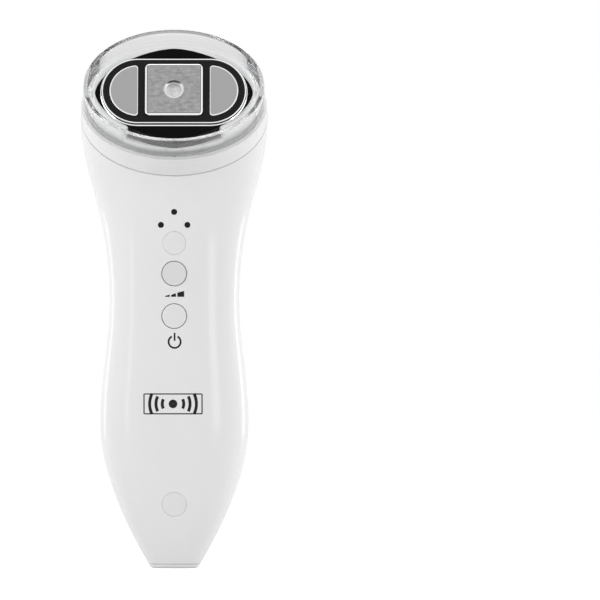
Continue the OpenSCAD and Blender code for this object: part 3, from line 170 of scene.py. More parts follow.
class ControlSizes(bpy.types.PropertyGroup):
    """Buttons, lights and windows on the front, and the recesses on the back."""
    button: length("Button", "Diameter of both push buttons", 8.4)
    button_gap: length("Button gap", "Gap round a button", 0.2)
    button_proud: length("Button proud", "How far a button stands out of the front", 0.3)
    level_height: length("Level button height", "Height of the level button", 102.6)
    power_height: length("Power button height", "Height of the power button", 87.8)
    landing: length("Landing", "Depth of the landings behind the axis plane", 12.9)
    lens: length("Lens", "Diameter of the three level lights", 2.0)
    lens_top: length("Upper lens", "Height of the upper level light", 124.0)
    lens_low: length("Lower lenses", "Height of the two lower level lights", 119.5)
    lens_apart: length("Lens place", "Distance of the lower lights from the middle", 4.6)
    mode_window: length("Mode window", "Diameter of the light window above the buttons", 8.0)
    mode_height: length("Mode height", "Height of that window", 113.2)
    charge_window: length("Charge window", "Diameter of the light window near the end", 8.5)
    charge_height: length("Charge height", "Height of that window", 22.3)
    window_gap: length("Window gap", "Gap round the windows and lenses", 0.05)
    dimple_width: length("Dimple width", "Width of the thumb dimple", 17.0)
    dimple_tall: length("Dimple height", "Height of the thumb dimple", 23.0)
    dimple_place: length("Dimple place", "Height of the middle of the dimple", 95.5)
    dimple_depth: length("Dimple depth", "Depth of the thumb dimple", 1.62)
    drop_top: length("Drop top", "Height of the point of the drop recess", 53.0)
    drop_middle: length("Drop middle", "Height where the drop recess is widest", 23.0)
    drop_low: length("Drop low", "Height of the low end of the drop recess", 12.0)
    drop_width: length("Drop width", "Width of the drop recess", 18.0)
    drop_depth: length("Drop depth", "Depth of the drop recess", 1.0)
    sound_hole: length("Sound hole", "Diameter of the three sound holes", 2.2)
    sound_top: length("Upper sound hole", "Height of the upper sound hole", 31.2)
    sound_low: length("Lower sound holes", "Height of the two lower sound holes", 22.4)
    sound_apart: length("Sound hole place", "Distance of the lower holes from the middle", 5.5)


class FinishColours(bpy.types.PropertyGroup):
    """Colours of the visible finishes."""
    shell: paint("Shell", "Gloss white of the handle and collar", 0.78, 0.78, 0.78)
    button: paint("Buttons", "White of the push buttons", 0.75, 0.75, 0.75)
    window: paint("Windows", "White of the light windows", 0.76, 0.76, 0.76)
    floor: paint("Black floor", "Gloss black of the floor in the ring", 0.003, 0.003, 0.0032)
    carrier: paint("Carrier", "Satin black of the carrier", 0.009, 0.009, 0.0095)
    plate: paint("Plate", "Satin steel of the square plate", 0.37, 0.37, 0.375)
    electrode: paint("Electrodes", "Satin steel of the half-round electrodes", 0.4, 0.4, 0.4)
    trim: paint("Trim", "Bright metal round the carrier", 0.9, 0.9, 0.91)
    ink: paint("Ink", "Black of the printed icons", 0.012, 0.012, 0.012)


GROUPS = {"device_handle": HandleSizes, "device_head": HeadSizes, "device_controls": ControlSizes,
          "device_colours": FinishColours}


def in_mm(name):
    """The values of a property group by name, with its lengths in millimetres."""
    group = getattr(bpy.context.scene, name)
    values = SimpleNamespace()
    for p in group.bl_rna.properties:
        if p.identifier not in ("rna_type", "name"):
            per = MM if getattr(p, "unit", "") == "LENGTH" else 1
            setattr(values, p.identifier, getattr(group, p.identifier) / per)
    return values


def head_sizes():
    """The head's sizes in millimetres, with three heights above the seat that follow from them."""
    d = in_mm("device_head")
    d.rim_height = d.collar_height + d.ring_height
    d.floor_height = d.rim_height - d.floor_sink
    d.carrier_height = d.floor_height + d.carrier_rise
    return d


def colour_of(name):
    """A colour of the visible finishes by name."""
    return tuple(getattr(bpy.context.scene.device_colours, name))


# The handle's form

def hermite(p0, m0, p1, m1, u):
    """A smooth step from value p0 with slope m0 to value p1 with slope m1, for u from 0 to 1."""
    return ((2 * u ** 3 - 3 * u ** 2 + 1) * p0 + (u ** 3 - 2 * u ** 2 + u) * m0
            + (3 * u ** 2 - 2 * u ** 3) * p1 + (u ** 3 - u ** 2) * m1)


class Handle:
    """The handle as a stack of sections. Place s runs from 0 at the charging end through 1 at the
    belly and 2 at the waist to 3 at the head seat."""

    def __init__(self):
        h = self.size = in_mm("device_handle")
        self.control = in_mm("device_controls")
        up = np.array([math.cos(h.seat_tilt), math.sin(h.seat_tilt)])
        out = np.array([-math.sin(h.seat_tilt), math.cos(h.seat_tilt)])
        seat = np.array([-h.seat_forward, h.seat_height])
        half = in_mm("device_head").foot_front
        grip = h.waist_height - h.belly_height
        chin = np.array([-math.cos(h.chin_slope), math.sin(h.chin_slope)])
        rise = np.array([0.0, 1.0])
        # Points of the front and the back line, and the slopes at which it leaves each point and
        # meets the next.
        self.stops, self.leave, self.meet = {}, {}, {}
        for side, end, belly, waist, pull, last, way in (
                (-1, -h.end_front, -h.belly_front, -h.waist_front, h.throat_pull, seat - up * half,
                 h.chin_pull * chin),
                (1, h.end_back, h.belly_back, h.waist_back, h.nape_pull, seat + up * half,
                 h.crown_pull * out)):
            self.stops[side] = np.array([[end, 0.0], [belly, h.belly_height],
                                         [waist, h.waist_height], last])
            self.leave[side] = np.array([h.belly_height * np.array([side * h.depth_flare, 1.0]),
                                         grip * rise, 3 * pull * rise])
            self.meet[side] = np.array([h.belly_height * rise, grip * rise, 3 * way])
        # Height, half width and slope of the sides at five places.
        self.widths = np.array([
            [0.0, h.end_width / 2, h.side_flare],
            [h.belly_height, h.belly_width / 2, 0.0],
            [h.waist_height, h.waist_width / 2, 0.0],
            [h.neck_height, h.neck_width / 2, h.neck_flare],
            [h.seat_height, in_mm("device_head").foot_side, 0.0]])

    def rail(self, side, s):
        """Front (-1) or back (1) line of the body in the plane x = 0, as [y, z], in three smooth
        steps."""
        s = np.asarray(s, float)
        k = np.clip(np.floor(s).astype(int), 0, 2)
        return hermite(self.stops[side][k], self.leave[side][k], self.stops[side][k + 1],
                       self.meet[side][k], (s - k)[..., None])

    def half_width(self, z):
        """Half width of the body where its middle line is at height z: four smooth steps."""
        w = self.widths
        i = np.clip(np.searchsorted(w[:, 0], z, side="right") - 1, 0, len(w) - 2)
        tall = w[i + 1, 0] - w[i, 0]
        return hermite(w[i, 1], w[i, 2] * tall, w[i + 1, 1], w[i + 1, 2] * tall,
                       (z - w[i, 0]) / tall)

    def section(self, side, s):
        """Middle, direction to the back, half depth, half width and exponent of a section. The
        front is an ellipse at both ends, and its exponent grows to the fullness from there."""
        front, back = self.rail(-1, s), self.rail(1, s)
        middle, half = (front + back) / 2, (back - front) / 2
        deep = np.linalg.norm(half, axis=-1)
        full = 2 + (self.size.fullness - 2) * np.minimum(1, np.minimum(s / 0.35, (3 - s) / 0.9))
        return (middle, half / deep[..., None], deep, self.half_width(middle[..., 1]),
                full if side < 0 else np.full_like(full, 2.0))

    def hollow(self, x, z):
        """Depth of the thumb dimple and of the drop recess in the back at a place on it. The dimple
        is a smooth step inwards from an ellipse, and the drop a parabola across its width."""
        c = self.control
        r = (2 * x / c.dimple_width) ** 2 + (2 * (z - c.dimple_place) / c.dimple_tall) ** 2
        w = self.drop_half(z)
        drop = np.where(w > abs(x), c.drop_depth * (1 - (x / np.maximum(w, 1e-6)) ** 2)
                        * np.minimum(1, w / 3), 0)
        u = np.clip((1 - r) / 0.7, 0, 1)
        return c.dimple_depth * u * u * (3 - 2 * u) + drop

    def drop_half(self, z):
        """Half width of the drop recess: a sine above its widest place and an ellipse below."""
        c = self.control
        up = (c.drop_top - z) / (c.drop_top - c.drop_middle)
        down = (c.drop_middle - z) / (c.drop_middle - c.drop_low)
        above = np.sin(np.pi / 2 * np.clip(up, 0, 1))
        below = np.sqrt(np.clip(1 - down ** 2, 0, 1))
        inside = (z < c.drop_top) & (z > c.drop_low)
        return np.where(inside, c.drop_width / 2 * np.where(z > c.drop_middle, above, below), 0)

    def skin(self, side, s, across, inset=0.0, lift=0.0):
        """Points of one half's skin. Across is x over the half width, from -1 to 1, and the section
        is a superellipse. Inset goes into the wall, and lift leaves room for the seam's edge."""
        middle, way, deep, wide, full = self.section(side, s)
        high = np.maximum(0, 1 - abs(across) ** full) ** (1 / full)
        gap = self.size.seam_gap / 2
        out = side * (gap + lift + (deep - lift - inset) * high)
        x = (wide - inset) * across
        if side > 0:
            height = middle[..., 1] + way[..., 1] * (gap + deep * high)
            out = out - self.hollow(wide * across, height) * np.minimum(1, 2 * high)
        return np.stack([x, middle[..., 0] + way[..., 0] * out,
                         middle[..., 1] + way[..., 1] * out], -1)

    def depth(self, side, x, z, inset=0.0):
        """y of the skin at a place seen square on, found by halving the range of s."""
        x, z = np.broadcast_arrays(np.asarray(x, float), np.asarray(z, float))
        low, high = np.zeros(x.shape), np.full(x.shape, 3.0)
        for _ in range(28):
            mid = (low + high) / 2
            middle, way, deep, wide, full = self.section(side, mid)
            t = np.minimum(1, abs(x) / (wide - inset))
            out = side * (self.size.seam_gap / 2 + (deep - inset) * (1 - t ** full) ** (1 / full))
            y = middle[..., 0] + way[..., 0] * out
            below = middle[..., 1] + way[..., 1] * out < z
            low, high = np.where(below, mid, low), np.where(below, high, mid)
        return y - (self.hollow(x, z) if side > 0 else 0)

    def front_y(self, x, z):
        """y of the front skin at one place."""
        return float(self.depth(-1, x, z))

    def lean(self, z):
        """Lean of the front skin at height z."""
        return -math.atan((self.front_y(0, z + 1) - self.front_y(0, z - 1)) / 2)

    def seat(self, points):
        """Takes points measured from the head seat into place: z points out of the face, and y up
        its plane."""
        h = self.size
        c, s = math.cos(h.seat_tilt), math.sin(h.seat_tilt)
        x, y, z = points[..., 0], points[..., 1], points[..., 2]
        return np.stack([x, c * y - s * z - h.seat_forward, s * y + c * z + h.seat_height], -1)


# Surfaces

def rounded(path, radius, closed=True):
    """A path with its corners rounded: each corner becomes a parabola between two points at the
    given distance from it, with a support point before and after."""
    path, radius = np.asarray(path, float), np.broadcast_to(radius, len(path))
    before, after = np.roll(path, 1, 0) - path, np.roll(path, -1, 0) - path
    lb, la = np.linalg.norm(before, axis=1), np.linalg.norm(after, axis=1)
    r = np.minimum(radius, 0.3 * np.minimum(lb, la))[:, None]
    a, b = before / lb[:, None] * r, after / la[:, None] * r
    u = np.linspace(0, 1, 5)[None, :, None]
    turn = path[:, None] + a[:, None] * (1 - u) ** 2 + b[:, None] * u ** 2
    corner = np.concatenate([(path + 1.5 * a)[:, None], turn, (path + 1.5 * b)[:, None]], 1)
    if closed:
        return corner.reshape(-1, path.shape[1])
    return np.concatenate([path[:1], corner[1:-1].reshape(-1, path.shape[1]), path[-1:]])


def oval_sweep(path, steps=288):
    """Ovals of half width, half depth and height taken along a closed path, as one grid."""
    path = np.concatenate([path, path[:1]])
    t = np.linspace(0, 2 * np.pi, steps + 1)
    return np.stack([path[:, :1] * np.cos(t), path[:, 1:2] * np.sin(t),
                     np.broadcast_to(path[:, 2:], (len(path), steps + 1))], -1)


def spun(path, base, axis=(0, 1, 0), up=(0, 0, 1), closed=False, steps=64):
    """A path of radius and height turned round an axis through base."""
    path = np.concatenate([path, path[:1]]) if closed else np.asarray(path, float)
    axis, up = np.array(axis, float), np.array(up, float)
    side = np.cross(up, axis)
    t = np.linspace(0, 2 * np.pi, steps + 1)[None, :, None]
    r, h = path[:, 0][:, None, None], path[:, 1][:, None, None]
    return np.asarray(base, float) + r * (np.cos(t) * side + np.sin(t) * up) + h * axis


def build(name, grids, material, slot, *nodes, body="handle"):
    """Joins grids of points into one closed mesh, in metres, and lets it ride on its CAD body.
    A grid is an array, or an array and a mask of the faces that it keeps."""
    points, faces, count = [], [], 0
    for grid in grids:
        grid, keep = grid if isinstance(grid, tuple) else (grid, None)
        n = count + np.arange(grid.shape[0] * grid.shape[1]).reshape(grid.shape[:2])
        quads = quads_of(n)
        faces.append(quads.reshape(-1, 4) if keep is None else quads[keep])
        points.append(grid.reshape(-1, 3))
        count += n.size
    mesh = bpy.data.meshes.new(name)
    mesh.from_pydata((np.concatenate(points) * MM).tolist(), [], np.concatenate(faces).tolist())
    work = bmesh.new()
    work.from_mesh(mesh)
    bmesh.ops.remove_doubles(work, verts=work.verts, dist=2e-6)
    bmesh.ops.recalc_face_normals(work, faces=work.faces)
    open_edges = sum(not edge.is_manifold for edge in work.edges)
    work.to_mesh(mesh)
    work.free()
    if open_edges:
        raise RuntimeError(f"{name} has {open_edges} open edges")
    mesh.polygons.foreach_set("use_smooth", np.ones(len(mesh.polygons), bool))
    mesh.materials.append(material)
    piece = bpy.data.objects.new(name, mesh)
    bpy.context.scene.collection.objects.link(piece)
    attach(piece, body)
    if nodes:
        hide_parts(*nodes)


def quads_of(numbers):
    """The corners of every face between a grid of point numbers."""
    return np.stack([numbers[:-1, :-1], numbers[:-1, 1:], numbers[1:, 1:], numbers[1:, :-1]], -1)


def window_of(sheet, x, z, reach_x, reach_z):
    """Rows and columns of a sheet that frame a place, by the nearest lines at the given reach."""
    column = int(np.argmin(abs(sheet[len(sheet) // 2, :, 0] - x)))
    rows = [int(np.argmin(abs(sheet[:, column, 2] - v))) for v in (z - reach_z, z + reach_z)]
    row = (rows[0] + rows[1]) // 2
    columns = [int(np.argmin(abs(sheet[row, :, 0] - v))) for v in (x - reach_x, x + reach_x)]
    return (*sorted(rows), *sorted(columns))


def frame_loop(sheet, window):
    """The closed loop of points round a window of a sheet."""
    a, b, c, d = window
    return np.concatenate([sheet[a, c:d], sheet[a:b, d], sheet[b, d:c:-1], sheet[b:a:-1, c],
                           sheet[a:a + 1, c]])


# How far each ring round a hole is on its way from the circle to the window's frame.
HOLE_STEPS = np.array([0, 0.012, 0.05, 0.14, 0.3, 0.52, 0.76, 1.0])[:, None]

# Angles at which a moulded edge has its points.
EDGE_TURN = np.radians([0, 30, 60, 90])


def spread_rows(handle, side, step, fine=()):
    """Places along the handle at even steps of its line, and closer together in the fine ranges,
    which give a lower and an upper z and the share of the step."""
    h = handle.size
    s = np.linspace((h.cap_height + h.seam_gap) / h.belly_height, 3, 3000)
    p = handle.rail(side, s)
    run = np.linalg.norm(np.diff(p, axis=0), axis=1) / step
    for low, high, share in fine:
        run *= np.where((p[1:, 1] > low) & (p[1:, 1] < high), 1 / share, 1)
    run = np.r_[0, np.cumsum(run)]
    return np.interp(np.linspace(0, run[-1], int(run[-1])), run, s)


class HalfShell:
    """One half of the handle: an outer and an inner sheet over the same rows and columns, with a
    rounded edge round the seam and both ends."""

    def __init__(self, handle, side, step, fine=(), columns=136):
        self.handle, self.side = handle, side
        edge, wall, t = handle.size.edge, handle.size.wall, EDGE_TURN
        # The columns follow an angle round the section. They are closest in its middle, and one
        # more lies beside each seam.
        u = np.linspace(-1, 1, columns)
        turn = np.pi / 2 * (0.7 * u + 0.3 * u ** 3)
        turn = np.r_[turn[0], turn[0] + 0.006, turn[1:-1], turn[-1] - 0.006, turn[-1]]
        across = np.sin(turn)[None]
        # The edge's radius at both ends is worked out along s, and its rows run down into it.
        s = spread_rows(handle, side, step, fine)
        low, high = (edge / np.linalg.norm(handle.rail(side, v) - handle.rail(side, w)) * abs(v - w)
                     for v, w in ((s[0], s[0] + 0.01), (2.99, 3.0)))
        self.s = np.r_[(s[0] + low * (1 - np.sin(t)))[::-1], s[1:-1], 3 - high * (1 - np.sin(t))]
        self.inset = np.r_[(edge * (1 - np.cos(t)))[::-1], 0 * s[1:-1], edge * (1 - np.cos(t))]
        rows, inset = self.s[:, None], self.inset[:, None]
        self.outer = handle.skin(side, rows, across, inset, edge)
        self.inner = handle.skin(side, rows, across, wall)
        self.keep = np.ones((self.outer.shape[0] - 1, self.outer.shape[1] - 1), bool)
        self.grids = []
        self.close_edges()

    def close_edges(self):
        """Rounds the outer edge along both seams and both ends, and joins it to the inner sheet."""
        edge, gap, t, seams = self.handle.size.edge, self.handle.size.seam_gap / 2, EDGE_TURN, []
        middle, way, _, wide, _ = self.handle.section(self.side, self.s)
        for hand in (-1, 1):
            x = [wide - self.inset - edge * (1 - np.cos(v)) for v in t]
            out = [self.side * (gap + edge * (1 - np.sin(v))) + 0 * wide for v in t]
            points = [np.stack([hand * a, *(middle + way * b[:, None]).T], -1)
                      for a, b in zip(x, out)]
            seams.append(np.stack(points, 1))
            corner = self.inner[:, 0 if hand < 0 else -1]
            self.grids.append(np.concatenate([seams[-1], corner[:, None]], 1))
        for row in (0, -1):
            rim = np.concatenate([seams[0][row][::-1], self.outer[row][1:-1], seams[1][row]])
            back = np.concatenate([np.repeat(self.inner[row][:1], 4, 0), self.inner[row][1:-1],
                                   np.repeat(self.inner[row][-1:], 4, 0)])
            self.grids.append(np.stack([rim, back]))

    def outer_y(self, x, z):
        """y of the outer sheet at a place."""
        return self.handle.depth(self.side, x, z)

    def inner_y(self, x, z):
        """y of the inner sheet at a place."""
        return self.handle.depth(self.side, x, z, self.handle.size.wall)

    def pierced(self, outer, inner, window, x, z, radius, lean=0.0):
        """A round hole through two sheets: rings run from the circle to the window's frame, a
        quarter circle rounds the edge, and a wall joins the circles."""
        edge, tall = self.handle.size.edge, math.cos(lean)
        way = np.array([0, math.copysign(tall, -self.outer_y(x, z)), math.sin(lean)])
        grids, circles = [], []
        for sheet, y_of, r, mid in (
                (outer, self.outer_y, radius + edge, z),
                (inner, self.inner_y, radius, z + math.sin(lean) * self.handle.size.wall)):
            loop = frame_loop(sheet, window)
            t = np.arctan2((loop[:, 2] - mid) / tall, loop[:, 0] - x)
            cx, cz = x + r * np.cos(t), mid + r * np.sin(t) * tall
            gx = cx * (1 - HOLE_STEPS) + loop[:, 0] * HOLE_STEPS
            gz = cz * (1 - HOLE_STEPS) + loop[:, 2] * HOLE_STEPS
            rings = np.stack([gx, y_of(gx, gz), gz], -1)
            rings[-1] = loop
            grids.append(rings)
            circles.append((rings[0], t))
        rim, t = circles[0]
        u = EDGE_TURN[:, None, None]
        out = np.stack([np.cos(t), -np.sin(t) * np.sin(lean), np.sin(t) * np.cos(lean)], -1)
        turn = rim - edge * np.sin(u) * out + edge * (1 - np.cos(u)) * way
        return grids + [turn, np.stack([turn[-1], circles[1][0]])]

    def hole(self, x, z, radius, reach_x, reach_z, lean=0.0):
        """Cuts one round hole in a window that reaches so far past it."""
        far = radius + self.handle.size.edge
        window = window_of(self.outer, x, z, far + reach_x, far + reach_z)
        a, b, c, d = window
        self.keep[a:b, c:d] = False
        self.grids += self.pierced(self.outer, self.inner, window, x, z, radius, lean)

    def all_grids(self):
        """Both sheets with the faces that they keep, and all edges and holes."""
        return [(self.outer, self.keep), (self.inner, self.keep), *self.grids]


# Finishes

class Wire:
    """A socket of a node tree. Arithmetic on it adds Math nodes, and add() adds any other node."""

    def __init__(self, tree, socket=None):
        self.tree, self.socket = tree, socket

    def add(self, kind, settings=None, sockets=None, output=0):
        """Adds a node, sets its settings and its sockets, and returns one of its outputs."""
        node = self.tree.nodes.new(kind)
        for key, value in (settings or {}).items():
            setattr(node, key, value)
        for key, value in (sockets or {}).items():
            if isinstance(value, Wire):
                self.tree.links.new(value.socket, node.inputs[key])
            else:
                node.inputs[key].default_value = value
        return Wire(self.tree, node.outputs[output])

    def math(self, operation, *values):
        """Adds one Math node."""
        return self.add("ShaderNodeMath", {"operation": operation}, dict(enumerate(values)))

    def __add__(self, other):
        return self.math("ADD", self, other)

    def __sub__(self, other):
        return self.math("SUBTRACT", self, other)

    def __rsub__(self, other):
        return self.math("SUBTRACT", other, self)

    def __mul__(self, other):
        return self.math("MULTIPLY", self, other)

    def __pow__(self, other):
        return self.math("POWER", self, other)

    def __or__(self, other):
        """The larger of two values, so that either of two masks counts."""
        return self.math("MAXIMUM", self, other)

    def __abs__(self):
        return self.math("ABSOLUTE", self)

    __radd__, __rmul__, __ror__ = __add__, __mul__, __or__

    def clip(self, low, high):
        """Maps low..high to 0..1 with a smooth step."""
        return self.add("ShaderNodeMapRange", {"interpolation_type": "SMOOTHSTEP"},
                        {"Value": self, "From Min": low, "From Max": high})

    def tint(self, dark, light):
        """Mixes two colours by this value. Either may be a wire. Sockets 6 and 7 and output 2 are
        the Mix node's colours."""
        ends = [c if isinstance(c, Wire) else (*c, 1) for c in (dark, light)]
        return self.add("ShaderNodeMix", {"data_type": "RGBA"},
                        {0: self, 6: ends[0], 7: ends[1]}, 2)

    def along(self, way):
        """The share of this vector along a direction."""
        return self.add("ShaderNodeVectorMath", {"operation": "DOT_PRODUCT"}, {0: self, 1: way},
                        "Value")

    def rays(self, *kinds):
        """1 for rays of these kinds and 0 for all others."""
        found = None
        for kind in kinds:
            ray = self.add("ShaderNodeLightPath", output=f"Is {kind} Ray")
            found = found | ray if found else ray
        return found

    def emission(self, strength):
        """White light of the given strength."""
        return self.add("ShaderNodeEmission", None, {"Color": (1, 1, 1, 1), "Strength": strength})

    def blend(self, first, second):
        """Mixes two shaders by this value."""
        return self.add("ShaderNodeMixShader", None, {0: self, 1: first, 2: second})


class Finish:
    """One material on object coordinates, in metres, with a principled shader."""

    def __init__(self, name, **constants):
        self.material = bpy.data.materials.new(name)
        self.material.use_nodes = True
        self.tree = self.material.node_tree
        self.shader = self.tree.nodes["Principled BSDF"]
        self.wire = Wire(self.tree)
        self.surface = Wire(self.tree, self.shader.outputs[0])
        self.place = self.wire.add("ShaderNodeTexCoord", output="Object")
        for key, value in constants.items():
            self.shader.inputs[key.replace("_", " ")].default_value = value

    def noise(self, per_metre, detail=2.0, stretch=(1, 1, 1), rough=0.5):
        """Noise with so many cells to the metre, stretched along the axes."""
        at = self.wire.add("ShaderNodeMapping", {"vector_type": "POINT"},
                           {"Vector": self.place, "Scale": stretch})
        return self.wire.add("ShaderNodeTexNoise", None, {
            "Vector": at, "Scale": per_metre, "Detail": detail, "Roughness": rough})

    def low_angle(self, start, full):
        """0 where the surface faces the eye, and 1 where the eye meets it at a low angle."""
        facing = self.wire.add("ShaderNodeLayerWeight", None, {"Blend": 0.5}, "Facing")
        return facing.clip(start, full)

    def on_face(self):
        """Place across the tilted face, up its plane and out of it, in mm from the seat."""
        h = in_mm("device_handle")
        c, s = math.cos(h.seat_tilt), math.sin(h.seat_tilt)
        up, out = (0, c / MM, s / MM), (0, -s / MM, c / MM)
        return (self.place.along((1 / MM, 0, 0)),
                self.place.along(up) + (c * h.seat_forward - s * h.seat_height),
                self.place.along(out) - (s * h.seat_forward + c * h.seat_height))

    def feed(self, **wires):
        """Links values to the shader's sockets."""
        for key, value in wires.items():
            self.tree.links.new(value.socket, self.shader.inputs[key.replace("_", " ")])
        return self

    def bump(self, height, high):
        """A bump whose height is given in millimetres."""
        return self.feed(Normal=self.wire.add("ShaderNodeBump", None, {
            "Height": height, "Distance": high * MM, "Strength": 1.0}))

    def show(self, wire):
        """Sends a shader to the material's output in place of the principled one."""
        self.tree.links.new(wire.socket, self.tree.nodes["Material Output"].inputs[0])


def shade(colour, factor):
    """A colour made lighter or darker."""
    return tuple(min(1.0, c * factor) for c in colour)


def grained(name, dark, light, noise, spread, roughness, high, **constants):
    """A finish with one grain: it runs from the dark to the light colour where the noise is inside
    the spread, and the roughness, from its first value by its second, and the bump follow it."""
    f = Finish(name, **constants)
    grain = f.noise(*noise)
    return f.feed(Base_Color=grain.clip(*spread).tint(dark, light),
                  Roughness=roughness[0] + grain * roughness[1]).bump(grain, high).material


def gloss_white(name, colour, roughness=0.13):
    """Injection-moulded gloss plastic: a faint flow tone, a slight orange peel, fine handling
    marks in the gloss, and a softer gloss where the eye meets it at a low angle."""
    f = Finish(name, IOR=1.5, Specular_IOR_Level=0.36)
    flow = f.noise(38, 3, (1, 1, 0.35))
    marks = f.noise(900, 3, (1, 1, 0.2)).clip(0.62, 0.8)
    soft = f.low_angle(0.55, 0.95)
    return f.feed(Base_Color=flow.clip(0.3, 0.7).tint(shade(colour, 0.985), shade(colour, 1.01)),
                  Roughness=roughness + marks * 0.07 + flow * 0.03 + soft * 0.45).bump(
        f.noise(420, 1), 0.0035).material


def window_white(colour):
    """The thin light windows: the same gloss plastic, a little denser and softer in gloss."""
    f = Finish("window_white", IOR=1.5)
    cloud = f.noise(260, 2)
    return f.feed(Base_Color=cloud.clip(0.3, 0.7).tint(shade(colour, 0.98), colour),
                  Roughness=0.2 + cloud * 0.05).bump(f.noise(1500, 1), 0.0015).material


def clear_acrylic(d):
    """Clear moulded acrylic, through which shadow and soft light pass, with faint flow waves. It
    has painted shade: it is a little greyer at its back and at a low angle, and its rim is darker
    at the back."""
    f = Finish("clear_acrylic", IOR=1.1, Transmission_Weight=1.0, Coat_Weight=1.0, Coat_IOR=1.5)
    haze = f.noise(120, 2, (1, 1, 0.4))
    _, y, z = f.on_face()
    # A painted shade: a darker band along the top of the rim at its back.
    rim = z.clip(d.rim_height - 0.3, d.rim_height - 0.05) * y.clip(6, 15)
    look = haze.clip(0.3, 0.75).tint((0.89, 0.89, 0.89), (0.93, 0.93, 0.93))
    # Painted shade: greyer at the back of the ring and where the eye meets it at a low angle.
    look = y.clip(12, 18).tint(look, (0.83, 0.83, 0.83))
    look = f.low_angle(0.8, 1.0).tint(look, (0.82, 0.82, 0.82))
    look = rim.tint(look, (0.25, 0.25, 0.25))
    f.feed(Base_Color=look, Roughness=0.012 + haze.clip(0.5, 0.8) * 0.03 + rim * 0.15)
    through = f.wire.add("ShaderNodeBsdfTransparent", None, {"Color": (0.97, 0.97, 0.97, 1)})
    f.show((f.wire.rays("Shadow", "Diffuse") * 0.9).blend(f.surface, through))
    return f.material


def frosted_white():
    """The frosted diffuser that lies on the light board."""
    return grained("frosted_white", (0.76, 0.77, 0.78), (0.84, 0.845, 0.85), (2600, 2), (0.3, 0.7),
                   (0.45, 0.2), 0.01, IOR=1.49)


def gloss_black(colour):
    """Polished black moulding with fine dust and hairlines in its gloss."""
    f = Finish("gloss_black", IOR=1.45, Specular_IOR_Level=0.05)
    dust = f.noise(1700, 3).clip(0.66, 0.78)
    return f.feed(Base_Color=dust.tint(colour, shade(colour, 2.0)),
                  Roughness=0.08 + dust * 0.3 + f.noise(60, 2) * 0.04).bump(
        f.noise(300, 1), 0.002).material


def satin_black(colour):
    """Satin black carrier with a fine spark-eroded grain."""
    return grained("satin_black", shade(colour, 0.8), shade(colour, 1.3), (3800, 2), (0.3, 0.7),
                   (0.34, 0.12), 0.006, IOR=1.5, Specular_IOR_Level=0.12)


def plated_trim(colour, low, high):
    """Polished plated metal with faint waves and hairlines. Its wall between the bright foot and
    the bright rim is painted black, a painted reflection of the black floor."""
    f = Finish("plated_trim", Metallic=1.0)
    hair = f.noise(1500, 3, (0.08, 1, 1)).clip(0.55, 0.8)
    _, _, z = f.on_face()
    # The wall's black is a painted reflection of the black floor.
    wall = z.clip(low, low + 0.06) * (1 - z.clip(high - 0.06, high))
    return f.feed(Base_Color=wall.tint(hair.tint(colour, shade(colour, 0.94)), (0.01, 0.01, 0.01)),
                  Roughness=0.07 + hair * 0.1).bump(f.noise(260, 2), 0.004).material


def mottled_steel(colour, d):
    """Bead-blasted steel: a cloudy mottle, a fine grain and faint brush lines. A smooth border, a
    painted dark line of shade where no groove is cut, and a polished bevel whose bright colour is a
    painted highlight run round it. The recess has a painted highlight on its wall, a painted shadow
    under its upper edge, and painted light on its floor, which is brighter low down and darker
    towards its upper side."""
    f = Finish("mottled_steel", Metallic=1.0)
    cloud = f.noise(520, 4, (1, 1.6, 1.6), 0.65)
    grain = f.noise(3600, 2, rough=0.7)
    lines = f.noise(2600, 2, (0.06, 1, 1))
    tone = cloud * 0.5 + grain * 0.35 + lines * 0.15
    x, y, _ = f.on_face()
    across, away = abs(x) | abs(y), (x * x + y * y) ** 0.5
    half, r = d.plate_side / 2, d.dish / 2
    border = across.clip(half - 1.15, half - 0.95)
    # A dark line inside the bevel: a painted shade, with no groove cut there.
    painted_groove_shade = across.clip(half - 0.82, half - 0.74) - across.clip(half - 0.66, half - 0.58)
    # The polished bevel: its low roughness is real, and its bright colour is a painted highlight.
    bevel = across.clip(half - 0.64, half - 0.56)
    # The recess floor, and the recess out to its lip, whose wall gets a painted highlight.
    dish, inside = 1 - away.clip(r - 0.75, r - 0.6), 1 - away.clip(r + 0.04, r + 0.18)
    # A painted shadow under the upper edge of the recess.
    under = away.clip(r - 0.62, r - 0.45) * inside * y.clip(r * 0.55, r * 0.85)
    # Painted light on the recess floor, brighter than the plate; further on it turns darker towards
    # its upper side.
    painted_recess_light = cloud.clip(0.3, 0.7).tint(shade(colour, 1.4), shade(colour, 1.9))
    look = tone.clip(0.36, 0.64).tint(shade(colour, 0.72), shade(colour, 1.2))
    # Over the mottle in turn: the border's own tone, then the painted shade, highlights and light
    # of the groove line, bevel and recess.
    for mask, new in ((border, shade(colour, 0.95)), (painted_groove_shade, shade(colour, 0.12)),
                      (bevel, (0.93, 0.93, 0.93)), (inside, shade(colour, 2.15)),
                      (under, shade(colour, 0.25)),
                      (dish, y.clip(0, r * 0.7).tint(painted_recess_light, shade(colour, 0.95)))):
        look = mask.tint(look, new)
    return f.feed(Base_Color=look, Roughness=0.1 + (1 - bevel) * (0.2 + tone * 0.2)).bump(
        (grain * 0.6 + lines * 0.4) * (1 - (border | inside)), 0.006).material


